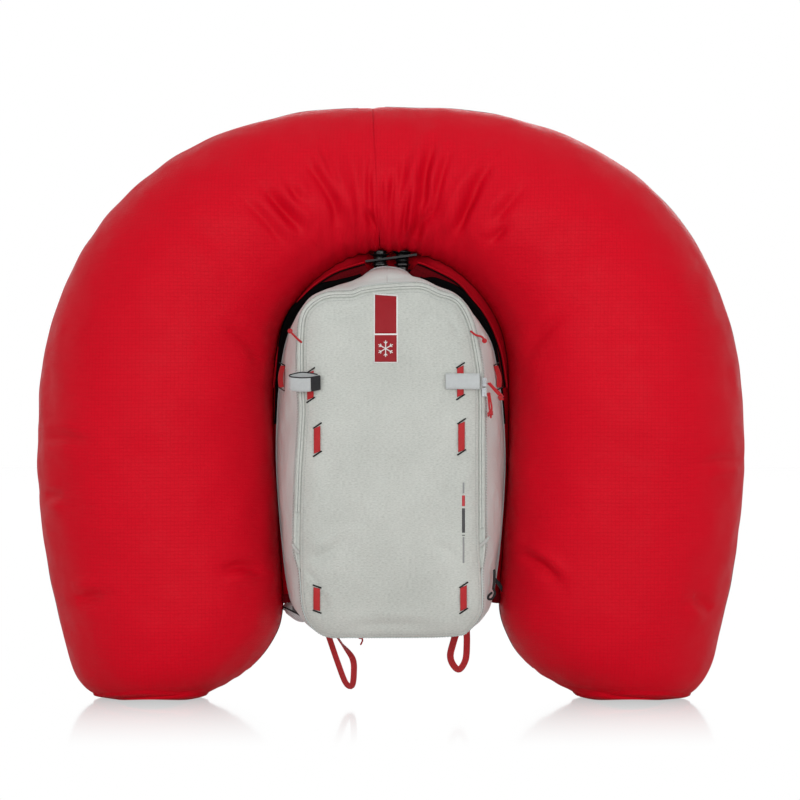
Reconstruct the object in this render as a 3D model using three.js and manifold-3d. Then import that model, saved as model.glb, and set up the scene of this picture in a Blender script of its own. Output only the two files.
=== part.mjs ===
// Avalanche airbag backpack with its airbag inflated: a 25 litre pack between two lobes of one horseshoe.
// Millimetres, +Z up. The wearer stands on the +Y side, so the pack's outer face looks along -Y.
import * as THREE from "three";
import { mergeVertices } from "three/addons/utils/BufferGeometryUtils.js";
import Module from "manifold-3d";

const wasm = await Module();
wasm.setup();

// ---- Driving dimensions -------------------------------------------------------------------------
const GAP = 0.3; // clearance between pieces that touch

const AIRBAG = {
  halfWidth: 518,
  top: 866,
  shoulder: 363, // height of the widest point
  roundness: 2.4, // exponent of the superellipse of the outer arch
  archHalfWidth: 172,
  archSpring: 480,
  archTop: 657,
  depthShare: 0.88, // depth of the tube against its width
  footDepth: 82,
  wall: 1,
};

// The pack's outline where its front panel starts, and where its side walls meet the back.
const FRONT = {
  y: -170,
  bottomHalf: 133,
  topHalf: 124,
  bottom: 108,
  top: 590,
  bottomRound: 38,
  topRound: 75,
};
const BACK = {
  y: -14,
  bottomHalf: 150,
  topHalf: 165,
  bottom: 118,
  top: 630,
  bottomRound: 40,
  topRound: 160,
};
const SIDE_BULGE = 4;
const CLOTH = 2.5;
const CROWN = [[0, 0], [15, 8], [35, 13], [65, 15]]; // inset from the outline, rise of the front panel
const FLAP_HINGE = { y: -187, z: 250 };
const ZIP = { width: 4.5, front: -169.6, back: -164.6, rightEnd: 258, leftEnd: 280 };

const BACK_PANEL = { sheetFront: 13.3, sheetBack: 15.3, padBack: 31 };
const NECK = { x: 16.5, radius: 9, bore: 7, top: 655.6 };
const CARTRIDGE = { x: -70, y: -46, radius: 28, bottom: 200, top: 385, neck: 11 };
const STRAP = { width: 62, thickness: 12 };
const WEBBING = 2;

// ---- Colours ------------------------------------------------------------------------------------
const finish = (color, roughness, metalness = 0) =>
  new THREE.MeshStandardMaterial({ color, roughness, metalness });
const RED_NYLON = finish(0xc4101e, 0.6);
const GREY_CLOTH = finish(0xc9ccc8, 0.85);
const RED_WEBBING = finish(0xb8202a, 0.8);
const BLACK_CLOTH = finish(0x151517, 0.85);
const BLACK_PLASTIC = finish(0x1b1c1e, 0.45);
const STEEL = finish(0x9a9da0, 0.35, 1);
const ALUMINIUM = finish(0xc8cacc, 0.35, 1);

// ---- Geometry helpers ---------------------------------------------------------------------------
const part = new THREE.Group();
const v3 = (x, y, z) => new THREE.Vector3(x, y, z);
const rad = THREE.MathUtils.degToRad;

/** Keeps only position and shares vertices, as a manifold needs. */
function bare(geometry) {
  const g = geometry.index ? geometry.toNonIndexed() : geometry.clone();
  const only = new THREE.BufferGeometry().setAttribute("position", g.getAttribute("position"));
  return mergeVertices(only, 1e-3);
}

function solid(geometry) {
  const g = bare(geometry);
  const vertProperties = new Float32Array(g.attributes.position.array);
  const triVerts = new Uint32Array(g.index.array);
  return new wasm.Manifold(new wasm.Mesh({ numProp: 3, vertProperties, triVerts }));
}

function geometryOf(manifold) {
  const mesh = manifold.getMesh();
  const positions = new THREE.BufferAttribute(new Float32Array(mesh.vertProperties), 3);
  const indices = new THREE.BufferAttribute(new Uint32Array(mesh.triVerts), 1);
  return new THREE.BufferGeometry().setAttribute("position", positions).setIndex(indices);
}

function add(name, shape, material) {
  const geometry = shape.isBufferGeometry ? shape : geometryOf(shape);
  const mesh = new THREE.Mesh(geometry, material);
  mesh.name = name;
  part.add(mesh);
  return mesh;
}

function mirrored(geometry) {
  const g = bare(geometry);
  g.scale(-1, 1, 1);
  turnFaces(g.index.array);
  return g;
}

function turnFaces(index) {
  for (let i = 0; i < index.length; i += 3)
    [index[i + 1], index[i + 2]] = [index[i + 2], index[i + 1]];
}

/** The geometry on the +X side, or its mirror image. */
const onSide = (side, geometry) => (side > 0 ? geometry : mirrored(geometry));

function box(x0, x1, y0, y1, z0, z1) {
  const block = new THREE.BoxGeometry(x1 - x0, y1 - y0, z1 - z0);
  return block.translate((x0 + x1) / 2, (y0 + y1) / 2, (z0 + z1) / 2);
}

/** A cylinder of the given radius from point a to point b. */
function rod(a, b, radius, sides = 16) {
  const along = b.clone().sub(a);
  const turn = new THREE.Quaternion().setFromUnitVectors(v3(0, 1, 0), along.clone().normalize());
  const middle = a.clone().add(b).multiplyScalar(0.5);
  return new THREE.CylinderGeometry(radius, radius, along.length(), sides)
    .applyQuaternion(turn)
    .translate(middle.x, middle.y, middle.z);
}

function tube(points, radius, sides = 8, steps = 16) {
  const section = new THREE.Shape();
  for (let i = 0; i < sides; i++) {
    const a = (2 * Math.PI * i) / sides;
    if (i) section.lineTo(radius * Math.cos(a), radius * Math.sin(a));
    else section.moveTo(radius, 0);
  }
  const extrudePath = new THREE.CatmullRomCurve3(points);
  return new THREE.ExtrudeGeometry(section, { steps, extrudePath, bevelEnabled: false });
}

/** A closed surface through rings that all have the same number of points, with a flat fan at each end. */
function loft(rings) {
  const count = rings[0].length;
  const points = rings.flat();
  const faces = [];
  for (let r = 0; r + 1 < rings.length; r++)
    for (let i = 0; i < count; i++) {
      const a = r * count + i;
      const b = r * count + ((i + 1) % count);
      faces.push(a, b, b + count, a, b + count, a + count);
    }
  for (const [start, flip] of [[0, true], [(rings.length - 1) * count, false]]) {
    const centre = v3(0, 0, 0);
    for (let i = 0; i < count; i++) centre.addScaledVector(points[start + i], 1 / count);
    points.push(centre);
    for (let i = 0; i < count; i++) {
      const a = start + i;
      const b = start + ((i + 1) % count);
      faces.push(...(flip ? [b, a] : [a, b]), points.length - 1);
    }
  }
  return facingOut(points, faces);
}

function facingOut(points, faces) {
  let volume = 0;
  for (let i = 0; i < faces.length; i += 3)
    volume += points[faces[i]].dot(points[faces[i + 1]].clone().cross(points[faces[i + 2]]));
  if (volume < 0) turnFaces(faces);
  const positions = new THREE.Float32BufferAttribute(points.flatMap((p) => p.toArray()), 3);
  return new THREE.BufferGeometry().setAttribute("position", positions).setIndex(faces);
}

/** Webbing or a padded strap: a flat section carried along points, its width along one fixed direction. */
function band(points, across, width, thickness) {
  const half = across.clone().normalize().multiplyScalar(width / 2);
  const rings = points.map((p, i) => {
    const before = points[Math.max(i - 1, 0)];
    const after = points[Math.min(i + 1, points.length - 1)];
    const out = after.clone().sub(before).cross(half).normalize().multiplyScalar(thickness / 2);
    return [
      p.clone().add(half).add(out),
      p.clone().sub(half).add(out),
      p.clone().sub(half).sub(out),
      p.clone().add(half).sub(out),
    ];
  });
  return loft(rings);
}

const smooth = (points, steps) => new THREE.CatmullRomCurve3(points).getPoints(steps);

// ---- Outlines of the pack -----------------------------------------------------------------------
const CORNER_STEPS = 5;

/** Points of a rounded outline in XZ, counter-clockwise from the bottom right corner. */
function outline(o, inset = 0) {
  const corners = [
    [o.bottomHalf, o.bottom, o.bottomRound, -90],
    [o.topHalf, o.top, o.topRound, 0],
    [-o.topHalf, o.top, o.topRound, 90],
    [-o.bottomHalf, o.bottom, o.bottomRound, 180],
  ];
  return corners.flatMap(([x, z, round, from]) => {
    const r = Math.max(round - inset, 1);
    const cx = x - Math.sign(x) * (inset + r);
    const cz = z + (z === o.bottom ? inset + r : -inset - r);
    return Array.from({ length: CORNER_STEPS + 1 }, (_, i) => {
      const a = rad(from + (90 * i) / CORNER_STEPS);
      return new THREE.Vector2(cx + r * Math.cos(a), cz + r * Math.sin(a));
    });
  });
}

/** Half the outline's width at a height between its rounded corners. */
function halfAt(o, z) {
  const low = o.bottom + o.bottomRound;
  const share = (z - low) / (o.top - o.topRound - low);
  return THREE.MathUtils.lerp(o.bottomHalf, o.topHalf, share);
}

const ringAt = (points, y) => points.map((p) => v3(p.x, y, p.y));
const plate = (points, y0, y1) => loft([ringAt(points, y0), ringAt(points, y1)]);

/** The pack's section at a share of the way from its front to its back. */
function sectionAt(share, inset = 0) {
  const mix = (key) => THREE.MathUtils.lerp(FRONT[key], BACK[key], share);
  const bulge = SIDE_BULGE * 4 * share * (1 - share);
  const section = {
    bottomHalf: mix("bottomHalf") + bulge,
    topHalf: mix("topHalf") + bulge,
    bottom: mix("bottom"),
    top: mix("top"),
    bottomRound: mix("bottomRound"),
    topRound: mix("topRound"),
  };
  return outline(section, inset);
}

/** How far the front panel stands forward at a distance in from its edge. */
function crown(inset) {
  for (let i = 1; i < CROWN.length; i++) {
    const [x0, y0] = CROWN[i - 1];
    const [x1, y1] = CROWN[i];
    if (inset <= x1) return y0 + ((y1 - y0) * (inset - x0)) / (x1 - x0);
  }
  return CROWN.at(-1)[1];
}
const frontY = (inset) => FRONT.y - crown(inset);

/** A strip along a path in XZ, between two offsets to its outer side and two depths. */
function strip(path, inner, outer, y0, y1) {
  const rings = path.map((p, i) => {
    const along = path[Math.min(i + 1, path.length - 1)].clone().sub(path[Math.max(i - 1, 0)]);
    const out = new THREE.Vector2(along.y, -along.x).normalize();
    const near = p.clone().addScaledVector(out, inner);
    const far = p.clone().addScaledVector(out, outer);
    return [v3(near.x, y0, near.y), v3(far.x, y0, far.y), v3(far.x, y1, far.y), v3(near.x, y1, near.y)];
  });
  return loft(rings);
}

/** The outline's upper part, from its right side at one height over the top to its left side at another. */
function archPath(o, rightEnd, leftEnd) {
  const arch = outline(o).slice(CORNER_STEPS + 1, 3 * (CORNER_STEPS + 1));
  const end = (side, z) => new THREE.Vector2(side * halfAt(o, z), z);
  return [end(1, rightEnd), ...arch, end(-1, leftEnd)];
}

// ---- Airbag -------------------------------------------------------------------------------------
const FOOT = { outer: 404, inner: 288 };

/** Pairs of points on the outer and inner edge of one lobe, from the middle of the arch to the foot. */
function airbagStations(startX) {
  const stations = [[[startX, AIRBAG.top], [startX, AIRBAG.archTop]]];
  const power = 2 / AIRBAG.roundness;
  for (const a of [80, 70, 60, 50, 40, 30, 20, 10, 0]) {
    const c = Math.cos(rad(a));
    const s = Math.sin(rad(a));
    const rise = AIRBAG.top - AIRBAG.shoulder;
    stations.push([
      [AIRBAG.halfWidth * c ** power, AIRBAG.shoulder + rise * s ** power],
      [AIRBAG.archHalfWidth * c, AIRBAG.archSpring + (AIRBAG.archTop - AIRBAG.archSpring) * s],
    ]);
  }
  stations.push(
    [[516, 305], [172, 390]],
    [[510, 245], [169, 300]],
    [[501, 185], [164, 215]],
    [[489, 128], [159, 150]],
    [[477, 80], [161, 118]],
    [[464, 40], [170, 93]],
    [[451, 20], [187, 66]],
    [[436, 8], [216, 38]],
    [[420, 3], [252, 16]],
    [[FOOT.outer, 0], [FOOT.inner, 0]],
  );
  return stations;
}

/** One chamber's loft, with its wall taken off when it is the inside. */
function airbagLoft(startX, wall) {
  const stations = airbagStations(startX + wall);
  const rings = stations.map(([outer, inner], i) => {
    const foot = i === stations.length - 1;
    const lift = foot ? wall : 0;
    const middle = v3((outer[0] + inner[0]) / 2, 0, (outer[1] + inner[1]) / 2 + lift);
    const across = v3(outer[0] - inner[0], 0, outer[1] - inner[1]);
    const half = across.length() / 2 - wall;
    const depth = Math.max((half + wall) * AIRBAG.depthShare, AIRBAG.footDepth) - wall;
    across.normalize();
    return Array.from({ length: 20 }, (_, k) => {
      const a = (2 * Math.PI * (k + 0.5)) / 20;
      const p = middle.clone().addScaledVector(across, half * Math.cos(a));
      return p.add(v3(0, depth * Math.sin(a), 0));
    });
  });
  return solid(loft(rings));
}

function airbag() {
  for (const [side, name] of [[1, "right"], [-1, "left"]]) {
    const hole = solid(rod(v3(NECK.x, 0, 640), v3(NECK.x, 0, 670), NECK.bore, 12));
    const chamber = airbagLoft(GAP / 2, 0).subtract(airbagLoft(GAP / 2, AIRBAG.wall)).subtract(hole);
    for (const [face, y0, y1] of [["front", -200, -GAP / 2], ["back", GAP / 2, 200]]) {
      const half = chamber.intersect(solid(box(-10, 600, y0, y1, -10, 900)));
      add(`airbag_${name}_${face}`, onSide(side, geometryOf(half)), RED_NYLON);
    }
  }
}

// ---- Inlet of the airbag ------------------------------------------------------------------------
const COLLAR = { half: 38, depth: 16, z: 645, thickness: 3, tilt: 7.5 };

function airbagCollar() {
  const sheet = solid(
    box(-COLLAR.half, COLLAR.half, -COLLAR.depth, COLLAR.depth, -COLLAR.thickness / 2, COLLAR.thickness / 2)
      .rotateY(rad(-COLLAR.tilt))
      .translate(0, 0, COLLAR.z),
  );
  const holes = [-1, 1].map((s) =>
    solid(rod(v3(s * NECK.x, 0, 620), v3(s * NECK.x, 0, 670), NECK.radius + 1, 18)),
  );
  add("airbag_collar_plate", sheet.subtract(holes[0]).subtract(holes[1]), BLACK_PLASTIC);
}

// ---- Pack body ----------------------------------------------------------------------------------
function packShell() {
  const shares = [0, 0.25, 0.5, 0.75, 1];
  const front = ZIP.back + GAP;
  const depthAt = (share) => THREE.MathUtils.lerp(front, BACK.y, share);
  const outer = loft(shares.map((s) => ringAt(sectionAt(s), depthAt(s))));
  const inner = loft([
    ringAt(sectionAt(0, CLOTH), front - 5),
    ...shares.slice(1, -1).map((s) => ringAt(sectionAt(s, CLOTH), depthAt(s))),
    ringAt(sectionAt(1, CLOTH), BACK.y + 5),
  ]);
  const shell = solid(outer).subtract(solid(inner));
  const cut = (x0, x1, z0, z1) => shell.intersect(solid(box(x0, x1, -200, 0, z0, z1)));
  const low = 150;
  const high = 540;
  add("gusset_top", cut(-300, 300, high + GAP, 700), GREY_CLOTH);
  add("gusset_left", cut(-300, 0, low + GAP, high), GREY_CLOTH);
  add("gusset_right", cut(0, 300, low + GAP, high), GREY_CLOTH);
  add("bottom_panel", cut(-300, 300, 0, low), GREY_CLOTH);
}

function frontPanel() {
  const domed = (inset, back) =>
    solid(
      loft([
        ringAt(outline(FRONT, inset), FRONT.y + back),
        ...CROWN.slice(inset ? 0 : 1).map(([x, rise]) =>
          ringAt(outline(FRONT, x + inset), FRONT.y - rise + inset),
        ),
      ]),
    );
  const dish = domed(0, 0).subtract(domed(CLOTH, 2 * CLOTH));
  const flap = dish.intersect(solid(box(-200, 200, -200, 0, FLAP_HINGE.z + GAP, 700)));
  const lower = dish.intersect(solid(box(-200, 200, -200, 0, 0, FLAP_HINGE.z - GAP)));
  add("front_flap", flap, GREY_CLOTH);
  add("front_panel_lower", lower, GREY_CLOTH);
}

function backPanel() {
  const divider = plate(outline(BACK, 4), -13.6, -11.8);
  const way = box(-34, 34, -20, 0, 588, 640);
  const cableWay = [-20, 40].map((y) => v3(CABLE.entryX, y, CABLE.entryZ));
  const cableHole = solid(rod(...cableWay, 5, 12));
  add("divider_panel", solid(divider).subtract(solid(way)).subtract(cableHole), BLACK_CLOTH);
  const sheet = plate(outline(BACK, 10), BACK_PANEL.sheetFront, BACK_PANEL.sheetBack);
  add("frame_sheet", solid(sheet).subtract(cableHole), BLACK_PLASTIC);
  const pad = plate(outline(BACK, 18), BACK_PANEL.sheetBack + GAP, BACK_PANEL.padBack);
  add("back_pad", solid(pad).subtract(cableHole), BLACK_CLOTH);
}

function airbagCompartment() {
  const lower = outline(BACK);
  const bottom = [
    new THREE.Vector2(-halfAt(BACK, 385), 385),
    ...lower.slice(3 * (CORNER_STEPS + 1)),
    ...lower.slice(0, CORNER_STEPS + 1),
    new THREE.Vector2(halfAt(BACK, 385), 385),
  ];
  const anchor = box(135, 157, -11, -5, 127, 141);
  const wall = solid(strip(bottom, -5, -3, -11.4, 13)).add(solid(anchor)).add(solid(mirrored(anchor)));
  add("compartment_wall", wall, BLACK_CLOTH);
  add("airbag_cover_front", strip(archPath(BACK, 390, 390), 1, 4.5, -13, -9.6), BLACK_CLOTH);
  const rear = [];
  for (let a = 40; a <= 140; a += 10) {
    const centre = Math.sign(90 - a) * (BACK.topHalf - BACK.topRound);
    const x = centre + BACK.topRound * Math.cos(rad(a));
    rear.push(new THREE.Vector2(x, BACK.top - BACK.topRound * (1 - Math.sin(rad(a)))));
  }
  add("airbag_cover_rear", strip(rear, 9, 11, 10, 12.9), BLACK_CLOTH);
}

// ---- Main zip -----------------------------------------------------------------------------------
const SLIDER = { x0: 127.3, x1: 133.9, y0: -171.5, y1: -165.2, height: 12, split: 455 };

function mainZip() {
  let chain = solid(strip(archPath(FRONT, ZIP.rightEnd, ZIP.leftEnd), -ZIP.width, 0, ZIP.front, ZIP.back));
  for (const [side, end] of [[1, ZIP.rightEnd], [-1, ZIP.leftEnd]]) {
    const edge = halfAt(FRONT, end);
    const foot = box(edge - 1, edge + 5, ZIP.front + 0.2, ZIP.back - 0.2, end - 18, end + 4);
    const hood = box(edge + 1.6, edge + 5, -178, -167, end - 22, end);
    chain = chain.add(solid(onSide(side, foot))).add(solid(onSide(side, hood)));
  }
  add("main_zip_chain", chain, BLACK_PLASTIC);
  const { x0, x1, y0, y1, height, split } = SLIDER;
  add("zip_slider_upper", box(x0, x1, y0, y1, split + 1, split + 1 + height), BLACK_PLASTIC);
  add("zip_slider_lower", box(x0, x1, y0, y1, split - 1 - height, split - 1), BLACK_PLASTIC);
  const upper = [v3(135.7, -169, 461), v3(143, -170, 453), v3(151, -171, 445), v3(157, -171, 436)];
  const lower = [v3(135.7, -169, 447), v3(136.5, -174.8, 440), v3(138.5, -175, 424), v3(139.5, -175, 411)];
  add("zip_pull_upper", tube(upper, 1.6, 8, 8), RED_WEBBING);
  add("zip_pull_lower", tube(lower, 1.6, 8, 8), RED_WEBBING);
}

// ---- Trims of the front -------------------------------------------------------------------------
const LOOP = { width: 9, thickness: 1.2, bulge: 2 };
const FRONT_LOOPS = [
  ["gear_loop_left_1", -112, 476, 37],
  ["gear_loop_left_2", -102.5, 399, 35],
  ["gear_loop_left_3", -103, 175, 31],
  ["gear_loop_right_1", 97, 483, 40],
  ["gear_loop_right_2", 98.6, 405, 39],
  ["gear_loop_right_3", 101.4, 177, 32],
];

function gearLoops() {
  for (const [name, x, top, height] of FRONT_LOOPS) {
    const inset = halfAt(FRONT, top - height / 2) - Math.abs(x) + LOOP.width / 2;
    const base = frontY(inset) - LOOP.thickness / 2 - 0.4;
    const at = (t) => v3(x, base - LOOP.bulge * 4 * t * (1 - t), top - height * t);
    const path = [0, 0.2, 0.5, 0.8, 1].map(at);
    add(name, band(path, v3(1, 0, 0), LOOP.width, LOOP.thickness), RED_WEBBING);
  }
  for (const [side, name] of [[1, "right"], [-1, "left"]]) {
    const path = [0, 0.25, 0.75, 1].map((t) => v3(158.2 + 3 * Math.sin(Math.PI * t), -62, 486 - 31 * t));
    const loop = band(path, v3(0, 1, 0), LOOP.width, LOOP.thickness);
    add(`gear_loop_gusset_${name}`, onSide(side, loop), RED_WEBBING);
  }
}

const LABEL = { left: -22, right: 9, top: 583, bottom: 490, thickness: 0.8 };

function label() {
  const heights = [LABEL.top, 575, 562, 545, 532, LABEL.bottom];
  const middle = (LABEL.left + LABEL.right) / 2;
  const path = heights.map((z) => v3(middle, frontY(FRONT.top - z) - 1.2, z));
  add("label_badge", band(path, v3(1, 0, 0), LABEL.right - LABEL.left, LABEL.thickness), RED_WEBBING);
}

const TAB = {
  hingeX: 124.5,
  y: -188.6,
  reach: 48,
  bottom: 452,
  top: 474,
  thickness: 2.4,
};
// The left tab has sprung open and curls round from its hinge to its free end, in XY.
const CURL = [
  [-123, -173.5], [-129, -176], [-137, -183], [-140.5, -191], [-134, -197.5], [-120, -199], [-98, -192],
];

function axeTabs() {
  const tab = box(-TAB.reach, -1, -TAB.thickness / 2, TAB.thickness / 2, TAB.bottom, TAB.top);
  const right = add("axe_tab_right", tab, GREY_CLOTH);
  right.position.set(TAB.hingeX, TAB.y, 0);
  const middle = (TAB.bottom + TAB.top) / 2;
  const curl = smooth(CURL.map(([x, y]) => v3(x, y, middle)), 14);
  add("axe_tab_left", band(curl, v3(0, 0, 1), TAB.top - TAB.bottom, 1.6), GREY_CLOTH);
}

/** The two ski loops hang from the bottom corners; the left one falls open wider. */
function skiLoops() {
  const left = [[-93, 112], [-86, 88], [-74, 50], [-62, 21], [-53, 42], [-56, 68], [-76, 86], [-88.5, 112]];
  const right = [[98, 112], [90, 84], [86, 66], [90, 53], [99, 46], [108, 60], [110, 84], [109.5, 112]];
  for (const [name, route] of [["left", left], ["right", right]]) {
    const path = route.map(([x, z]) => v3(x, -45, z));
    add(`ski_loop_${name}`, band(smooth(path, 20), v3(0, 1, 0), 12, 1.4), RED_WEBBING);
  }
}

function sideTrims() {
  const cord = [v3(147.4, -108, 188), v3(147, -112, 172), v3(145, -124, 159), v3(142.6, -137, 152)];
  add("side_bungee_hook", tube(cord, 2.5, 8, 8), BLACK_PLASTIC);
}

// ---- Carrying system ----------------------------------------------------------------------------
const CABLE = { entryX: -62, entryZ: 588, radius: 3 };
const STRAP_PATH = [
  [58, 34, 566], [60, 60, 577], [66, 98, 574], [74, 142, 545],
  [80, 168, 500], [84, 174, 440], [87, 170, 385], [90, 152, 335],
];

const strapPoints = (out) => STRAP_PATH.map(([x, y, z], i) => {
  const [, y0, z0] = STRAP_PATH[Math.max(i - 1, 0)];
  const [, y1, z1] = STRAP_PATH[Math.min(i + 1, STRAP_PATH.length - 1)];
  const along = Math.hypot(y1 - y0, z1 - z0);
  return v3(x, y - (out * (z1 - z0)) / along, z + (out * (y1 - y0)) / along);
});

function shoulderStraps() {
  const padded = band(smooth(strapPoints(0), 18), v3(1, 0, 0), STRAP.width, STRAP.thickness);
  const tail = [v3(89, 158, 348), v3(92, 140, 312), v3(98, 110, 268), v3(106, 72, 236), v3(114, 35, 218)];
  const webbing = band(smooth(tail, 9), v3(1, 0, 0), 20, WEBBING);
  const strap = geometryOf(solid(padded).add(solid(webbing)));
  for (const [side, name] of [[1, "right"], [-1, "left"]]) {
    add(`shoulder_strap_${name}`, onSide(side, strap), BLACK_CLOTH);
  }
}

const HANDLE = { radius: 4, pivotY: 35.3, pivotZ: 600, half: 20 };

/** A loop with ball ends, on which it lifts. */
function haulHandle() {
  const { radius, pivotY, pivotZ, half } = HANDLE;
  const end = v3(-half, pivotY, pivotZ);
  const handle = [end, v3(-20, 39, 599), v3(-19, 48, 586), v3(-12, 51, 570), v3(0, 52, 566)];
  const other = handle.slice(0, -1).map((p) => v3(-p.x, p.y, p.z)).reverse();
  const ball = new THREE.SphereGeometry(radius, 12, 8).translate(...end.toArray());
  const loop = solid(tube([...handle, ...other], radius, 8, 18));
  add("haul_handle", loop.add(solid(ball)).add(solid(mirrored(ball))), BLACK_CLOTH);
}

function trigger() {
  const room = solid(box(-98, -70, 184, 193.5, 440, 517));
  const pocket = solid(box(-101, -67, 181.5, 196, 452, 520)).subtract(room);
  add("trigger_pocket", pocket, BLACK_CLOTH);
  const stem = solid(box(-91, -77, 186, 191.5, 425, 512));
  const grip = solid(rod(v3(-112, 188.7, 420), v3(-56, 188.7, 420), 8, 14));
  add("trigger_handle", stem.add(grip), RED_WEBBING);
  const outside = strapPoints(STRAP.thickness / 2 + CABLE.radius + 4).map((p) => v3(-p.x, p.y, p.z));
  const throughPanels = [-24, -12, 12, 36].map((y) => v3(CABLE.entryX, y, CABLE.entryZ));
  const inside = [v3(-115, -46, 424), v3(-114, -46, 480), v3(-104, -46, 550), v3(-80, -44, 580)];
  const route = [...inside, ...throughPanels, ...outside.slice(2, 4), v3(-81, 184, 540), v3(-84, 188, 524)];
  add("release_cable", tube(route, CABLE.radius, 8, 44), BLACK_PLASTIC);
}

function sternumStrap() {
  const z = 470;
  const y = 187;
  for (const [side, name] of [[1, "right"], [-1, "left"]]) {
    const slider = solid(box(63, 66, y - 4, y + 8, z - 12, z + 12));
    const webbing = solid(box(side > 0 ? 24 : 26, 64, y, y + WEBBING, z - 10, z + 10));
    add(`sternum_strap_${name}`, onSide(side, geometryOf(slider.add(webbing))), BLACK_CLOTH);
  }
  const socket = solid(box(-25.7, 6, y - 4, y + 8, z - 13, z + 13));
  const hollow = solid(box(-14, 10, y - 2, y + 6, z - 9, z + 9));
  add("sternum_buckle_female", socket.subtract(hollow), BLACK_PLASTIC);
  const plug = solid(box(8, 23.7, y - 4, y + 8, z - 13, z + 13));
  const tongue = solid(box(-12, 9, y - 1, y + 5, z - 8, z + 8));
  add("sternum_buckle_male", plug.add(tongue), BLACK_PLASTIC);
}

function hipBelt() {
  const round = [
    v3(96, 38, 164), v3(122, 62, 162), v3(134, 108, 160), v3(120, 152, 158), v3(96, 176, 158),
  ];
  const front = [
    v3(104, 168, 158), v3(88, 182, 158), v3(66, 192, 158), v3(46, 195.5, 158), v3(29.5, 196, 158),
  ];
  const wing = band(smooth(round, 10), v3(0, 0, 1), 66, 10);
  const belt = band(smooth(front, 6), v3(0, 0, 1), 38, WEBBING);
  const both = geometryOf(solid(wing).add(solid(belt)));
  for (const [side, name] of [[1, "right"], [-1, "left"]]) {
    add(`hip_wing_${name}`, onSide(side, both), BLACK_CLOTH);
  }
  const ring = solid(box(-27, 2, 193, 199, 136, 180)).subtract(solid(box(-10, -3, 190, 202, 144, 172)));
  add("hip_buckle_plate", ring, ALUMINIUM);
  const plateHalf = solid(box(4, 27, 193, 199, 138, 178));
  const bridge = solid(box(-6.5, 8, 199.6, 202.6, 147, 169)).add(solid(box(4, 8, 198, 202.6, 147, 169)));
  const tooth = solid(box(-6.5, -4, 195, 200, 147, 169));
  add("hip_buckle_hook", plateHalf.add(bridge).add(tooth), ALUMINIUM);
}

/** A small pouch on the left hip wing: sections at x, about y, between two heights, with a half depth. */
function hipPocket() {
  const sections = [
    [-124, 23, 110, 138, 7], [-138, 30, 106, 144, 13], [-150, 34, 108, 143, 15], [-159, 34, 114, 138, 9],
  ];
  const rings = sections.map(([x, y, low, high, half]) => [
    v3(x, y - half, low), v3(x, y + half, low), v3(x, y + half, high), v3(x, y - half, high),
  ]);
  add("hip_pocket_left", loft(rings), GREY_CLOTH);
}

// ---- Inflation system ---------------------------------------------------------------------------
const HEAD = { bottom: 389, top: 446, bore: 6.5, lowBore: 5 };
const LEVER = { x: -101, z: 411 };

function cartridge() {
  const { x, y, radius, bottom, top, neck } = CARTRIDGE;
  const wall = 2;
  const profile = [
    [0, bottom], [radius - 8, bottom], [radius, bottom + 10], [radius, top - 36], [radius - 8, top - 22],
    [neck, top - 14], [neck, top], [4, top], [4, top - 15], [radius - 9, top - 25],
    [radius - wall, top - 38], [radius - wall, bottom + 12], [radius - 9, bottom + wall],
    [0, bottom + wall],
  ].map(([r, z]) => new THREE.Vector2(r, z));
  add("cartridge", new THREE.LatheGeometry(profile, 20).rotateX(rad(90)).translate(x, y, 0), STEEL);
}

function firingHead() {
  const { x, y } = CARTRIDGE;
  const block = solid(box(x - 22, x + 22, y - 18, y + 18, HEAD.bottom, HEAD.top));
  const ear = (y0, y1) => solid(box(-106, x - 21, y0, y1, 405, 417));
  const stud = solid(rod(v3(LEVER.x, y - 9, LEVER.z), v3(LEVER.x, y + 9, LEVER.z), 2, 10));
  const bore = solid(rod(v3(x, y, 405), v3(x, y, HEAD.top - 4), HEAD.bore));
  const low = solid(rod(v3(x, y, 380), v3(x, y, 410), HEAD.lowBore));
  const slot = solid(box(x - 30, x, y - 3, y + 3, 396, 428));
  const body = block.subtract(bore).subtract(low).subtract(slot);
  add("firing_head", body.add(ear(y - 9, y - 5.5)).add(ear(y + 5.5, y + 9)).add(stud), ALUMINIUM);
  const head = solid(rod(v3(x, y, 414), v3(x, y, 424), 5.8));
  const pin = solid(rod(v3(x, y, 395), v3(x, y, 424), 4.2)).add(head);
  add("striker_pin", pin, STEEL);
  const turns = 3;
  const helix = Array.from({ length: turns * 8 + 1 }, (_, i) => {
    const a = (2 * Math.PI * i) / 8;
    return v3(x + 4.6 * Math.cos(a), y + 4.6 * Math.sin(a), 425.5 + (14.5 * i) / (turns * 8));
  });
  add("striker_spring", tube(helix, 0.8, 5, turns * 8), STEEL);
  const hub = solid(rod(v3(LEVER.x, y - 4.8, LEVER.z), v3(LEVER.x, y + 4.8, LEVER.z), 5, 14));
  const arms = solid(box(LEVER.x - 17, x - 5.2, y - 2, y + 2, LEVER.z - 2, LEVER.z + 2));
  const hole = solid(rod(v3(LEVER.x, y - 9, LEVER.z), v3(LEVER.x, y + 9, LEVER.z), 2.5, 14));
  add("firing_lever", hub.add(arms).subtract(hole), STEEL);
}

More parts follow.
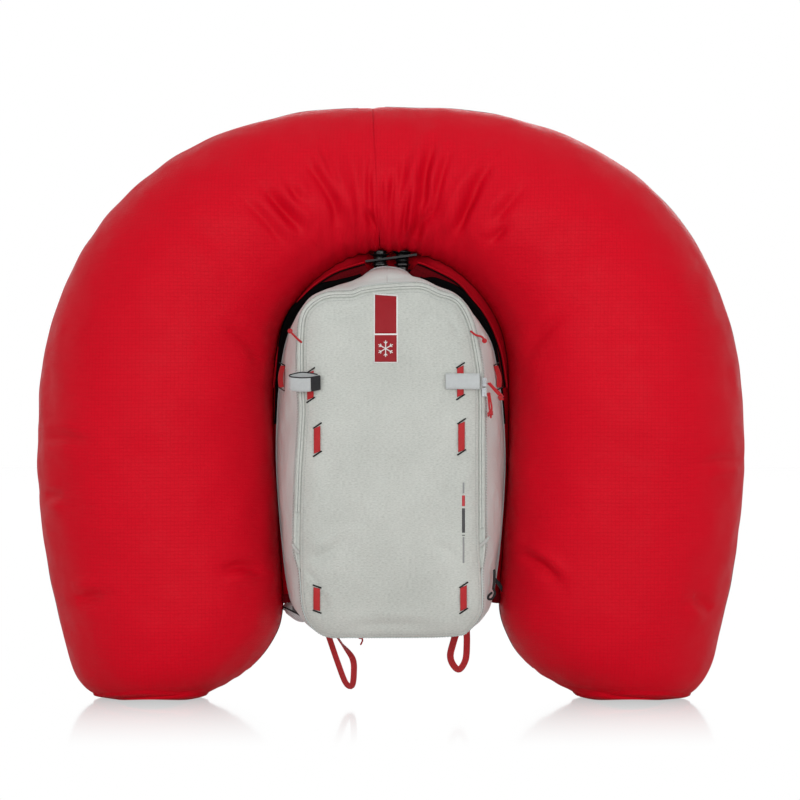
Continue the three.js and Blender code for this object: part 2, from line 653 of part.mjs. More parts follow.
function gasLine() {
  const start = [v3(-47.6, -46, 420), v3(-38, -46, 420), v3(-8, -46, 462)];
  const rest = [v3(0, -44, 520), v3(0, -39, 560), v3(0, -39, 571)];
  add("pressure_hose", tube([...start, ...rest], 4, 8, 20), BLACK_PLASTIC);
  add("gas_manifold", box(-32, 32, -52, -26, 571.4, 590), ALUMINIUM);
  const bends = [[-38, 590.6], [-38, 595], [-17, 611], [0, 622], [0, 628]];
  const elbow = bends.map(([y, z]) => v3(NECK.x, y, z));
  for (const [side, name] of [[1, "right"], [-1, "left"]]) {
    const rise = [v3(NECK.x, 0, 624), v3(NECK.x, 0, NECK.top)];
    const flange = rod(v3(NECK.x, 0, 634.8), v3(NECK.x, 0, 636.8), NECK.radius + 3, 12);
    const pipe = (bend, stub, radius, sides) =>
      solid(tube(bend, radius, sides, 6)).add(solid(rod(...stub, radius, sides)));
    const outside = pipe(elbow, rise, NECK.radius, 12).add(solid(flange));
    const inside = pipe(extended(elbow), extended(rise), NECK.bore, 10);
    add(`venturi_${name}`, onSide(side, geometryOf(outside.subtract(inside))), BLACK_PLASTIC);
  }
}

/** A route carried on past both ends, so that a bore cut along it comes out. */
function extended(route) {
  const past = (end, next) => end.clone().add(end.clone().sub(next).normalize().multiplyScalar(3));
  return [past(route[0], route[1]), ...route, past(route.at(-1), route.at(-2))];
}

airbag();
airbagCollar();
packShell();
frontPanel();
backPanel();
airbagCompartment();
mainZip();
gearLoops();
label();
axeTabs();
skiLoops();
sideTrims();
shoulderStraps();
haulHandle();
trigger();
sternumStrap();
hipBelt();
hipPocket();
cartridge();
firingHead();
gasLine();

export default part;
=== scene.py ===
"""An avalanche airbag backpack with its airbag out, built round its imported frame.

Metres, +Z up. The wearer stands on the +Y side, so the pack's outer face looks along -Y.
Routes and outlines are written in millimetres and read through mm().
"""

import math

import bmesh
import bpy
import numpy as np
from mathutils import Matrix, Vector


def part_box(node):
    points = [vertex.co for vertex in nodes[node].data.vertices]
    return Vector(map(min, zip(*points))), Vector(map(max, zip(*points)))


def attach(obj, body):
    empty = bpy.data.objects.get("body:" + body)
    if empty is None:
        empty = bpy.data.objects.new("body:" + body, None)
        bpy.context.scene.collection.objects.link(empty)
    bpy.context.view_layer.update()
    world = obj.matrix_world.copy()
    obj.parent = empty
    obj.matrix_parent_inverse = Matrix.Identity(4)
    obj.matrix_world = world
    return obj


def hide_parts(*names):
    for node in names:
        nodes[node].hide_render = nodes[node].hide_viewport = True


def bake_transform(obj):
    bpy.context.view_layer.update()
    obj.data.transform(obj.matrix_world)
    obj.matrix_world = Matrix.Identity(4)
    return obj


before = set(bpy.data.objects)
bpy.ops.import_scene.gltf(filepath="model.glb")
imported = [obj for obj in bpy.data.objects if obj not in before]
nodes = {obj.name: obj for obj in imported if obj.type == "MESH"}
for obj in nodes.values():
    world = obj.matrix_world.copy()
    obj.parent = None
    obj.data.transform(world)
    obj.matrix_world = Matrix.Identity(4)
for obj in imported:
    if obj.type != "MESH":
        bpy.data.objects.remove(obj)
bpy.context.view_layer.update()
SIDES = ((1, "right"), (-1, "left"))  # the sign of X on each side, as seen from the front


# ---- Curves and distances ------------------------------------------------------------------------
def mm(points):
    """Points given in millimetres, in metres."""
    return np.array(points, float) / 1000


def distance_along(line):
    """How far along a line each of its points is."""
    return np.r_[0, np.cumsum(np.linalg.norm(np.diff(line, axis=0), axis=1))]


def resample(line, count, closed=False):
    """count points evenly spaced along a line; a closed line repeats its first point at its end."""
    at = distance_along(line)
    want = np.linspace(0, at[-1], count, endpoint=not closed)
    return np.column_stack([np.interp(want, at, line[:, k]) for k in range(line.shape[1])])


def curve(points, count, closed=False):
    """count evenly spaced points on a Catmull-Rom curve through the points."""
    p = np.asarray(points, float)
    if closed:
        padded = np.vstack([p[-1], p, p[:2]])
    else:
        padded = np.vstack([2 * p[0] - p[1], p, 2 * p[-1] - p[-2]])
    t = np.linspace(0, 1, 16, endpoint=False)[:, None]
    spans = []
    for a, b, c, d in zip(padded, padded[1:], padded[2:], padded[3:]):
        spans.append(0.5 * (2 * b + (c - a) * t + (2 * a - 5 * b + 4 * c - d) * t**2
                            + (3 * b - a - 3 * c + d) * t**3))
    spans.append(padded[-2:-1])
    return resample(np.vstack(spans), count, closed)


def unit(vectors):
    """Vectors at length one."""
    return vectors / np.linalg.norm(vectors, axis=-1, keepdims=True)


def at_depth(xz, y):
    """A line of the XZ plane at a depth, which may vary along it."""
    return np.column_stack([xz[:, 0], np.broadcast_to(y, len(xz)), xz[:, 1]])


def distances(points, line):
    """How far each 2-D point is from a line, on which side (+1 left), and how far along it (0 to 1)."""
    best = np.full(len(points), np.inf)
    side, along = np.zeros(len(points)), np.zeros(len(points))
    at = distance_along(line)
    for k, (a, b) in enumerate(zip(line, line[1:])):
        d = b - a
        long = max(float(d @ d), 1e-12)
        share = np.clip((points - a) @ d / long, 0, 1)
        off = points - a - share[:, None] * d
        far = np.hypot(off[:, 0], off[:, 1])
        near = far < best
        best[near] = far[near]
        side[near] = np.sign(d[0] * off[near, 1] - d[1] * off[near, 0])
        along[near] = (at[k] + share[near] * math.sqrt(long)) / at[-1]
    return best, side, along


def waves(points, scale, seed):
    """A smooth random field of about -1 to 1 over points, from a few sine waves about scale metres long."""
    rng = np.random.default_rng(seed)
    field = np.zeros(len(points))
    for _ in range(9):
        direction = rng.normal(size=points.shape[1])
        direction *= 2 * math.pi * rng.uniform(0.6, 1.5) / scale / np.linalg.norm(direction)
        field += np.sin(points @ direction + rng.uniform(0, 6.3))
    return field / 4.5


def offset(line, out, closed=True):
    """A line in XZ moved by out to its right as it runs, so an outline run counter-clockwise grows."""
    if closed:
        along = unit(np.roll(line, -1, 0) - np.roll(line, 1, 0))
    else:
        along = unit(np.gradient(line, axis=0))
    return line + out * np.column_stack([along[:, 1], -along[:, 0]])


def radial(path):
    """The direction in XZ at right angles to a path round the pack, pointing out."""
    along = unit(np.gradient(path, axis=0))
    return unit(np.column_stack([along[:, 2], np.zeros(len(path)), -along[:, 0]]))


# ---- Meshes --------------------------------------------------------------------------------------
def build(name, points, faces, material, corners=None, body="root", slot=None):
    """A smooth-shaded mesh that rides on a body, with face-corner UVs in metres in the map cloth.
    The slot that it works out, from slot or else from its material, is not used."""
    mesh = bpy.data.meshes.new(name)
    faces = faces.tolist() if isinstance(faces, np.ndarray) else faces
    mesh.from_pydata(np.asarray(points).reshape(-1, 3).tolist(), [], faces)
    if corners is not None:
        layer = mesh.uv_layers.new(name="cloth")
        layer.data.foreach_set("uv", np.asarray(corners, np.float32).ravel())
    mesh.polygons.foreach_set("use_smooth", [True] * len(mesh.polygons))
    mesh.update()
    obj = bpy.data.objects.new(name, mesh)
    bpy.context.scene.collection.objects.link(obj)
    obj.data.materials.append(material)
    slot = slot or SLOT_OF.get(material)
    if body:
        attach(obj, body)
    return obj


def grid_faces(points, wrap_rows=False, wrap_columns=False):
    """Quads of a (rows, columns, 3) grid of points, and their corner UVs in metres."""
    rows, columns = points.shape[:2]
    i, j = np.meshgrid(np.arange(rows - (not wrap_rows)), np.arange(columns - (not wrap_columns)),
                       indexing="ij")
    i, j = i.ravel(), j.ravel()
    i2, j2 = (i + 1) % rows, (j + 1) % columns
    faces = np.column_stack([i * columns + j, i2 * columns + j, i2 * columns + j2, i * columns + j2])

    def lengths(axis):
        closed = np.concatenate([points, points[:1] if axis == 0 else points[:, :1]], axis)
        step = np.linalg.norm(np.diff(closed, axis=axis), axis=2).mean(1 - axis)
        return np.r_[0, np.cumsum(step)]

    u, v = lengths(0), lengths(1)
    corners = np.stack([np.column_stack([u[a], v[b]]) for a, b in
                        ((i, j), (i + 1, j), (i + 1, j + 1), (i, j + 1))], 1)
    return faces, corners


def normals_of(points, wrap_columns):
    """The normal at each point of a grid, whose rows may be closed rings."""
    if wrap_columns:
        along_row = np.roll(points, -1, 1) - np.roll(points, 1, 1)
    else:
        along_row = np.gradient(points, axis=1)
    n = np.cross(np.gradient(points, axis=0), along_row)
    return n / np.maximum(np.linalg.norm(n, axis=2), 1e-12)[:, :, None]


def faces_away(points, facing, wrap_columns):
    """Whether a grid's faces look along facing, or where that is None out of the tube that they make."""
    n = normals_of(points, wrap_columns)
    if facing is None:
        return ((points - points.mean(1, keepdims=True)) * n).sum() > 0
    return (n * np.asarray(facing, float)).sum() > 0


def pushed(points, push):
    """The points of a tube's grid, each moved out of the tube by its own push."""
    normals = normals_of(points, True).reshape(-1, 3)
    if not faces_away(points, None, True):
        normals = -normals
    return points.reshape(-1, 3) + normals * push[:, None]


def surface(name, points, material, wrap_rows=False, wrap_columns=False, plan=None, caps=False, facing=None,
            **more):
    """A mesh over a grid of points. plan gives each point's own UV; caps close a tube's two ends.
    Its faces look along facing, or out of the tube that its rows make."""
    if not faces_away(points, facing, wrap_columns):
        points = points[:, ::-1]
        plan = plan if plan is None else plan[:, ::-1]
    faces, corners = grid_faces(points, wrap_rows, wrap_columns)
    if plan is not None:
        corners = plan.reshape(-1, 2)[faces]
    flat = points.reshape(-1, 3)
    if caps:
        rows, columns = points.shape[:2]
        middles = [points[0].mean(0), points[-1].mean(0)]
        j = np.arange(columns)
        j2 = (j + 1) % columns
        n = len(flat)
        first = np.column_stack([j2, j, np.full(columns, n)])
        base = (rows - 1) * columns
        last = np.column_stack([base + j, base + j2, np.full(columns, n + 1)])
        flat = np.vstack([flat, middles])
        ends = np.vstack([first, last])
        spread = (flat[ends][:, :, :2] - flat[ends][:, :1, :2]).reshape(-1, 2)
        corners = np.vstack([np.asarray(corners).reshape(-1, 2), spread])
        faces = [*faces.tolist(), *ends.tolist()]
    return build(name, flat, faces, material, np.asarray(corners).reshape(-1, 2), **more)


def frames(path, across=None):
    """Along, across and out directions at each point of a path; across is fixed, given or carried."""
    along = unit(np.gradient(path, axis=0))
    if across is None:
        side = [unit(np.cross(along[0], (0.31, 0.2, 0.93)))]
        for a in along[1:]:
            side.append(unit(side[-1] - (side[-1] @ a) * a))
        side = np.array(side)
    else:
        side = np.broadcast_to(np.asarray(across, float), path.shape)
        side = unit(side - (side * along).sum(1)[:, None] * along)
    return along, side, np.cross(side, along)


def sweep(name, path, section, material, across=None, scale=None, **more):
    """A closed section of (across, out) offsets carried along a path, with closed ends."""
    _, side, out = frames(path, across)
    size = np.ones(len(path)) if scale is None else np.asarray(scale)
    section = np.asarray(section)
    if section.ndim == 2:
        section = np.broadcast_to(section, (len(path), *section.shape))
    points = (path[:, None] + size[:, None, None] * (section[:, :, :1] * side[:, None]
                                                      + section[:, :, 1:] * out[:, None]))
    return surface(name, points, material, wrap_columns=True, caps=True, **more)


def circle(radius, sides=12):
    """The section of a round bar."""
    a = np.linspace(0, 2 * math.pi, sides, endpoint=False)
    return radius * np.column_stack([np.cos(a), np.sin(a)])


def flat_section(width, thickness, crown=0.0):
    """The section of webbing: rounded edges, and a face that may rise in the middle."""
    w, t = width / 2, thickness / 2
    x = np.r_[np.linspace(-w + t, w - t, 7), w - t * 0.3, w, w - t * 0.3,
              np.linspace(w - t, -w + t, 7), -w + t * 0.3, -w, -w + t * 0.3]
    y = np.r_[[t] * 7, t * 0.7, 0, -t * 0.7, [-t] * 7, -t * 0.7, 0, t * 0.7]
    rise = crown * (1 - (x / w) ** 2)
    return np.column_stack([x, y + np.where(y > 0, rise, 0)])


def tapered(width, thickness, section=None):
    """A section for each point of a path, from a width and a thickness that may vary along it."""
    section = flat_section(1, 1) if section is None else section
    return section[None] * np.stack(np.broadcast_arrays(width, thickness), -1)[:, None, :]


def spread(values, count):
    """A few values spread evenly over count points."""
    return np.interp(np.linspace(0, 1, count), np.linspace(0, 1, len(values)), values)


def rounded_ends(path, length):
    """A scale for sweep() that rounds both ends of a path over a length."""
    at = distance_along(path)
    near = np.clip(np.minimum(at, at[-1] - at) / length, 0, 1)
    return np.sqrt(np.maximum(1 - (1 - near) ** 2, 0.02))


def cord_mesh(name, path, radius, material, sides=12, **more):
    """A round cord with rounded ends."""
    return sweep(name, path, circle(radius, sides), material, scale=rounded_ends(path, radius), **more)


def merged(name, parts, material, **more):
    """One mesh from many (points, faces) pairs."""
    points, faces, base = [], [], 0
    for p, f in parts:
        points.append(p)
        faces.extend((np.asarray(f) + base).tolist())
        base += len(p)
    flat = np.vstack(points)
    corners = np.vstack([flat[f][:, (0, 2)] for f in faces])
    return build(name, flat, faces, material, corners, **more)


CAPSULE_RINGS = [(-1, 0.0), (-0.93, 0.6), (-0.75, 1), (0.75, 1), (0.93, 0.6), (1, 0.0)]


def capsule(a, b, radius, up=(0, -1, 0)):
    """A small rounded bar from a to b: points and faces."""
    a, b = np.asarray(a, float), np.asarray(b, float)
    along = (b - a) / 2
    side = np.cross(along, up)
    side /= max(np.linalg.norm(side), 1e-9)
    out = np.cross(side, along)
    out /= max(np.linalg.norm(out), 1e-9)
    ring = circle(radius, 6)
    rings = [(a + b) / 2 + t * along + max(s, 0.12) * (ring[:, :1] * side + ring[:, 1:] * out)
             for t, s in CAPSULE_RINGS]
    points = np.vstack(rings)
    faces = [[r * 6 + k, (r + 1) * 6 + k, (r + 1) * 6 + (k + 1) % 6, r * 6 + (k + 1) % 6]
             for r in range(5) for k in range(6)]
    return points, faces


STITCH, STITCH_GAP, THREAD_RADIUS = 0.0026, 0.0012, 0.00035
TACK_RADIUS = 0.00075


def stitches(name, path, material, outward, **more):
    """A seam's thread: short rounded stitches along a path, lying on the side that outward points to."""
    count = max(int(distance_along(path)[-1] / (STITCH + STITCH_GAP)), 2)
    at = resample(path, count)
    along = unit(np.gradient(at, axis=0))
    lift = np.asarray(outward, float) * THREAD_RADIUS * 0.5
    bars = [capsule(p + lift - t * STITCH / 2, p + lift + t * STITCH / 2, THREAD_RADIUS, up=(0.1, -1, 0.1))
            for p, t in zip(at, along)]
    return merged(name, bars, material, **more)


def bar_tack(a, b, height, count=13):
    """Close stitches side by side along a short line from a to b: what holds a webbing's end."""
    a, b = np.asarray(a, float), np.asarray(b, float)
    along = unit(b - a)
    across = np.cross(along, (0, -1, 0))
    bars = []
    for share in np.linspace(0, 1, count):
        p = a + share * (b - a)
        bars.append(capsule(p - across * height / 2, p + across * height / 2 + along * 0.0008, TACK_RADIUS))
    return bars


# ---- Materials -----------------------------------------------------------------------------------
def srgb(*values):
    """A linear colour from three 8-bit sRGB values."""
    shares = [value / 255 for value in values]
    return (*[c / 12.92 if c <= 0.04045 else ((c + 0.055) / 1.055) ** 2.4 for c in shares], 1)


class Finish:
    """A Principled material and short ways to add the nodes that vary it."""

    def __init__(self, name, roughness, **constants):
        self.material = bpy.data.materials.new(name)
        self.material.use_nodes = True
        self.tree = self.material.node_tree
        self.shader = self.tree.nodes["Principled BSDF"]
        self.shader.inputs["Roughness"].default_value = roughness
        for socket, value in constants.items():
            self.shader.inputs[socket.replace("_", " ")].default_value = value
        self.heights = []

    def node(self, kind, *values, named=None, **settings):
        """A node with its inputs set or linked: the first ones in order, others by name or number."""
        made = self.tree.nodes.new(kind)
        for key, value in settings.items():
            setattr(made, key, value)
        for key, value in [*enumerate(values), *(named or {}).items()]:
            if isinstance(value, bpy.types.NodeSocket):
                self.tree.links.new(value, made.inputs[key])
            else:
                made.inputs[key].default_value = value
        return made

    def math(self, operation, a, b=0.0):
        return self.node("ShaderNodeMath", a, b, operation=operation).outputs[0]

    def place(self):
        return self.node("ShaderNodeTexCoord").outputs["Object"]

    def cloth(self):
        """The two cloth directions, in metres."""
        split = self.node("ShaderNodeSeparateXYZ", self.node("ShaderNodeUVMap", uv_map="cloth").outputs[0])
        return split.outputs[0], split.outputs[1]

    def noise(self, scale, detail=3.0, roughness=0.55, at=None):
        named = {"Vector": at or self.place(), "Scale": scale, "Detail": detail, "Roughness": roughness}
        return self.node("ShaderNodeTexNoise", named=named).outputs["Fac"]

    def ramp(self, value, low, high, to_low=0.0, to_high=1.0):
        """A value from low to high, spread from to_low to to_high and held there."""
        return self.node("ShaderNodeMapRange", value, low, high, to_low, to_high).outputs[0]

    def total(self, terms):
        """The sum of (value, share) pairs, each value times its share."""
        result = None
        for value, share in terms:
            scaled = self.math("MULTIPLY", value, share)
            result = scaled if result is None else self.math("ADD", result, scaled)
        return result

    def shade(self, light, dark, terms):
        """Colours it from light to dark by a total of terms. Inputs 6 and 7 and output 2 are colours."""
        share = self.math("MINIMUM", self.total(terms), 1.0)
        mix = self.node("ShaderNodeMix", named={0: share, 6: light, 7: dark}, data_type="RGBA")
        self.tree.links.new(mix.outputs[2], self.shader.inputs["Base Color"])

    def raise_by(self, height, share):
        """Adds share times a height from 0 to 1 to the relief."""
        self.heights.append((height, share))

    def rough(self, low, high, scale):
        varied = self.ramp(self.noise(scale), 0.3, 0.7, low, high)
        self.tree.links.new(varied, self.shader.inputs["Roughness"])

    def done(self, distance, strength=0.6):
        """The material, once its relief is joined on."""
        bump = self.node("ShaderNodeBump", named={"Strength": strength, "Distance": distance,
                                                  "Height": self.total(self.heights)})
        self.tree.links.new(bump.outputs[0], self.shader.inputs["Normal"])
        return self.material


def ripples(f, pitch):
    """A sine wave across each cloth direction, one half wave to a pitch."""
    return [f.math("SINE", f.math("MULTIPLY", c, math.pi / pitch)) for c in f.cloth()]


def woven(f, pitch):
    """The height of a plain weave of threads pitch apart, from 0 to 1."""
    u, v = ripples(f, pitch)
    over = f.math("GREATER_THAN", f.math("MULTIPLY", u, v), 0.0)
    under = f.math("SUBTRACT", 1.0, over)
    return f.math("ADD", f.math("MULTIPLY", f.math("ABSOLUTE", u), over),
                  f.math("MULTIPLY", f.math("ABSOLUTE", v), under))


def ripstop(f, pitch, width):
    """1 on the thicker threads of a ripstop grid."""
    lines = []
    for coordinate in f.cloth():
        share = f.math("FRACT", f.math("DIVIDE", coordinate, pitch))
        lines.append(f.math("LESS_THAN", share, width / pitch))
    return f.math("MAXIMUM", *lines)


def cloth_finish(name, colour, dark, roughness=0.75, pitch=0.0009, rip=None, rip_dark=0.3, sheen=0.05,
                 relief=0.0004, blotch=9.0, uneven=0.3, gloss=0.2, slub=0.0, crumple=0.0):
    """Woven cloth: threads, an optional ripstop grid, slubs, uneven dye and a little crumple."""
    f = Finish(name, roughness, Sheen_Weight=sheen, Sheen_Roughness=0.45, Specular_IOR_Level=gloss)
    threads = woven(f, pitch)
    tones = [(f.ramp(f.noise(blotch), 0.32, 0.72), uneven), (f.noise(420, 2.0), 0.35),
             (f.math("SUBTRACT", 1.0, threads), 0.18)]
    f.raise_by(threads, 0.5)
    f.raise_by(f.noise(60, 4.0), 0.6)
    if crumple:
        u, v = f.cloth()
        drawn = f.node("ShaderNodeCombineXYZ", f.math("MULTIPLY", u, 0.35), v, 0.0)
        f.raise_by(f.noise(42, 4.0, 0.6, drawn.outputs[0]), 5.0 * crumple)
        f.raise_by(f.noise(13, 3.0, 0.5), 9.0 * crumple)
    if slub:
        u, v = f.cloth()
        drawn = f.node("ShaderNodeCombineXYZ", f.math("MULTIPLY", u, 0.25), 0.0, v)
        thick = f.ramp(f.noise(950, 2.0, at=drawn.outputs[0]), 0.45, 0.72)
        tones.append((thick, slub))
        f.raise_by(thick, 1.2)
    if rip:
        grid = ripstop(f, rip, rip * 0.16)
        tones.append((grid, rip_dark))
        f.raise_by(grid, 0.8)
    f.shade(colour, dark, tones)
    f.rough(roughness - 0.08, roughness + 0.08, 30)
    return f.done(relief)


def webbing_finish(name, colour, dark, rib=0.0014):
    """Narrow woven tape: ribs across it, a twill slant and uneven dye."""
    f = Finish(name, 0.7, Sheen_Weight=0.25, Sheen_Roughness=0.4, Specular_IOR_Level=0.35)
    u, v = f.cloth()
    slant = f.math("ADD", f.math("DIVIDE", u, rib), f.math("DIVIDE", v, rib * 1.3))
    twill = f.math("PINGPONG", slant, 0.5)
    ribs = f.math("PINGPONG", f.math("DIVIDE", u, rib), 0.5)
    f.raise_by(twill, 1.0)
    f.raise_by(ribs, 1.0)
    f.shade(colour, dark, [(twill, 0.7), (f.noise(220), 0.45)])
    f.rough(0.62, 0.8, 60)
    return f.done(0.0005)


def mesh_finish(name, colour, hole, size=0.0032):
    """Spacer or pocket mesh: rows of small holes between knitted threads."""
    f = Finish(name, 0.85, Sheen_Weight=0.15, Sheen_Roughness=0.5)
    depth = f.ramp(f.math("MULTIPLY", *ripples(f, size / 2)), 0.15, 0.55)
    f.shade(colour, hole, [(depth, 1.0), (f.noise(300), 0.3)])
    f.raise_by(f.math("SUBTRACT", 1.0, depth), 1.0)
    f.raise_by(f.noise(500), 0.4)
    return f.done(0.0008, 0.8)


def hard_finish(name, colour, worn, roughness, metal=0.0, grain=600, brushed=False, gloss=0.5):
    """Moulded plastic or metal: grain, faint marks and a rubbed tone where the surface stands out."""
    f = Finish(name, roughness, Metallic=metal, Specular_IOR_Level=gloss)
    marks = f.ramp(f.noise(26, 5.0, 0.65), 0.5, 0.75)
    edges = f.ramp(f.node("ShaderNodeNewGeometry").outputs["Pointiness"], 0.52, 0.6)
    f.shade(colour, worn, [(marks, 0.35), (edges, 0.5)])
    f.raise_by(f.noise(grain, 2.0), 1.0)
    if brushed:
        stretch = f.node("ShaderNodeMapping", f.place(), named={"Scale": (1, 1, 0.04)})
        f.raise_by(f.noise(900, 2.0, at=stretch.outputs[0]), 1.0)
    f.rough(roughness - 0.07, roughness + 0.1, 80)
    return f.done(0.00012, 0.5)


RED = cloth_finish("red_ripstop", (0.67, 0.0022, 0.0155, 1), (0.47, 0.0004, 0.009, 1), roughness=0.46,
                   pitch=0.0011, rip=0.0052, rip_dark=0.25, sheen=0.0, relief=0.0003, blotch=5.0,
                   uneven=0.18, gloss=0.08, crumple=1.0)
# A darker copy of the red nylon: painted shade, for the skirt and binding beside the pack's back edge.
RED_SHADED = cloth_finish("red_ripstop_shaded", (0.50, 0.0012, 0.011, 1), (0.36, 0.0003, 0.007, 1),
                         roughness=0.5, pitch=0.0011, rip=0.0052, sheen=0.0, relief=0.0003, gloss=0.08)
GREY = cloth_finish("grey_ripstop", srgb(210, 213, 207), srgb(174, 178, 172), roughness=0.8, pitch=0.0009,
                    rip=0.0042, rip_dark=0.05, slub=0.5, uneven=0.35, crumple=0.45)
# A lighter, blue-green tinted copy of the grey cloth: painted light on the side walls.
GREY_SIDE_LIT = cloth_finish("grey_gusset_lit", srgb(226, 242, 238), srgb(196, 210, 206), roughness=0.8,
                         pitch=0.0009, rip=0.0042, rip_dark=0.05, slub=0.25, uneven=0.3, crumple=0.5)
# A darker copy of the grey cloth: painted shade, for the zip garages.
GREY_SHADE = cloth_finish("grey_painted_shade", srgb(188, 188, 184), srgb(160, 160, 157), roughness=0.8, rip=0.0042)
RED_TAPE = webbing_finish("red_webbing", srgb(192, 40, 44), srgb(140, 18, 24))
# Dark red: the taped seams' and anchor tabs' own colour, and painted shade in the compartment's opening.
DARK_RED_TAPE_AND_SHADE = cloth_finish("dark_red_cloth", srgb(108, 0, 12), srgb(72, 0, 7), roughness=0.6, rip=0.0052,
                        sheen=0.0, gloss=0.06)
LABEL_RED = cloth_finish("label_red", srgb(152, 14, 28), srgb(124, 8, 18), roughness=0.45, pitch=0.0007,
                         sheen=0.05, relief=0.0002)
GREY_TAPE = webbing_finish("grey_webbing", srgb(196, 200, 200), srgb(160, 165, 166))
BLACK_TAPE = webbing_finish("black_webbing", srgb(36, 36, 39), srgb(14, 14, 16))
BLACK_CLOTH = cloth_finish("black_cloth", srgb(26, 26, 28), srgb(12, 12, 13), roughness=0.8, rip=0.0042,
                           gloss=0.08)
DEEP_BLACK = cloth_finish("black_lining", srgb(9, 9, 10), srgb(4, 4, 5), roughness=0.75, rip=0.0042,
                          sheen=0.0, gloss=0.05)
BLACK_MESH = mesh_finish("black_spacer_mesh", srgb(46, 47, 50), srgb(8, 8, 9))
POCKET_MESH = mesh_finish("grey_pocket_mesh", srgb(232, 236, 236), srgb(170, 174, 176), size=0.0026)
DARK_MESH = mesh_finish("dark_pocket_mesh", srgb(120, 122, 122), srgb(40, 41, 42), size=0.0026)
BLACK_INK_THREAD = webbing_finish("black_tack_thread", srgb(12, 12, 13), srgb(4, 4, 4), rib=0.0006)
GREY_THREAD = webbing_finish("grey_thread", srgb(190, 193, 190), srgb(160, 163, 160), rib=0.0006)
DARK_THREAD = webbing_finish("dark_grey_thread", srgb(112, 114, 116), srgb(80, 82, 84), rib=0.0006)
RED_CORD = webbing_finish("red_cord", srgb(196, 34, 40), srgb(140, 12, 22), rib=0.0011)
BLACK_CORD = webbing_finish("black_cord", srgb(28, 28, 30), srgb(10, 10, 11), rib=0.0011)
BLACK_PLASTIC = hard_finish("black_plastic", srgb(10, 10, 11), srgb(26, 26, 28), 0.36, gloss=0.22)
BLACK_HOSE = hard_finish("black_rubber", srgb(8, 8, 9), srgb(20, 20, 22), 0.32, grain=900, gloss=0.4)
RED_PLASTIC = hard_finish("red_plastic", srgb(190, 20, 30), srgb(214, 60, 62), 0.4)
STEEL = hard_finish("steel", srgb(150, 152, 155), srgb(196, 198, 200), 0.32, metal=1.0, brushed=True)
STEEL_DARK = hard_finish("dark_steel", srgb(96, 98, 100), srgb(150, 152, 154), 0.35, metal=1.0)
ALUMINIUM = hard_finish("aluminium", srgb(196, 198, 201), srgb(226, 227, 229), 0.34, metal=1.0, brushed=True)
INK_BLACK = hard_finish("black_print", srgb(44, 44, 46), srgb(70, 70, 72), 0.6, grain=1200)
INK_GREY = hard_finish("grey_print", srgb(128, 130, 130), srgb(150, 152, 152), 0.6, grain=1200)
INK_RED = hard_finish("red_print", srgb(168, 34, 44), srgb(190, 60, 66), 0.6, grain=1200)
INK_WHITE = hard_finish("white_print", srgb(232, 232, 230), srgb(214, 214, 212), 0.6, grain=1200)

# What each finish is the slot of, where a piece isn't given another.
SLOTS = {"airbag_nylon": (RED, RED_SHADED, DARK_RED_TAPE_AND_SHADE),
         "pack_cloth": (GREY, GREY_SIDE_LIT, GREY_SHADE, GREY_TAPE, GREY_THREAD, POCKET_MESH),
         "red_webbing": (RED_TAPE, RED_CORD), "red_label": (LABEL_RED, INK_WHITE),
         "red_plastic": (RED_PLASTIC,),
         "black_cloth": (BLACK_TAPE, BLACK_CLOTH, DEEP_BLACK, BLACK_INK_THREAD, DARK_THREAD, BLACK_CORD,
                         INK_BLACK, INK_GREY, INK_RED),
         "black_mesh": (BLACK_MESH, DARK_MESH), "black_plastic": (BLACK_PLASTIC, BLACK_HOSE)}
SLOT_OF = {finish: slot for slot, finishes in SLOTS.items() for finish in finishes}


# ---- Camera, light and floor ---------------------------------------------------------------------
def camera():
    """A long lens square to the pack's outer face."""
    lens = bpy.data.cameras.new("camera")
    lens.sensor_width = 36
    lens.lens = 107.14
    lens.clip_end = 50
    eye = bpy.data.objects.new("camera", lens)
    eye.location = (0.013, -3.5, 0.437)
    eye.rotation_euler = (math.pi / 2, 0, 0)
    bpy.context.scene.collection.objects.link(eye)
    bpy.context.scene.camera = eye


def area_light(name, place, target, size, watts):
    """A rectangular lamp at a place, turned to a target."""
    data = bpy.data.lights.new(name, "AREA")
    data.shape = "RECTANGLE"
    data.size, data.size_y = size
    data.energy = watts
    lamp = bpy.data.objects.new(name, data)
    lamp.location = place
    lamp.rotation_euler = (Vector(target) - Vector(place)).to_track_quat("-Z", "Y").to_euler()
    bpy.context.scene.collection.objects.link(lamp)


def studio():
    """A white room with four soft lights."""
    scene = bpy.context.scene
    scene.view_settings.view_transform = "Standard"
    world = bpy.data.worlds.new("studio")
    scene.world = world
    world.use_nodes = True
    tree = world.node_tree
    background = tree.nodes["Background"]
    background.inputs["Color"].default_value = (1, 1, 1, 1)
    rays = tree.nodes.new("ShaderNodeLightPath")
    seen = tree.nodes.new("ShaderNodeMath")
    seen.operation = "MAXIMUM"
    tree.links.new(rays.outputs["Is Camera Ray"], seen.inputs[0])
    tree.links.new(rays.outputs["Is Glossy Ray"], seen.inputs[1])
    strength = tree.nodes.new("ShaderNodeMapRange")
    strength.inputs["To Min"].default_value = 0.52
    strength.inputs["To Max"].default_value = 1.0
    tree.links.new(seen.outputs[0], strength.inputs[0])
    tree.links.new(strength.outputs[0], background.inputs["Strength"])
    area_light("key_left", (-1.0, -3.7, 0.9), (-0.1, 0, 0.45), (1.2, 1.2), 31)
    area_light("key_right", (1.1, -3.6, 0.8), (0.1, 0, 0.42), (1.2, 1.2), 33)
    area_light("top", (0, -0.9, 2.6), (0, 0, 0.5), (2.2, 1.6), 7)
    area_light("back", (0.5, 3.0, 1.6), (0, 0, 0.45), (2.0, 1.6), 34)
    floor()


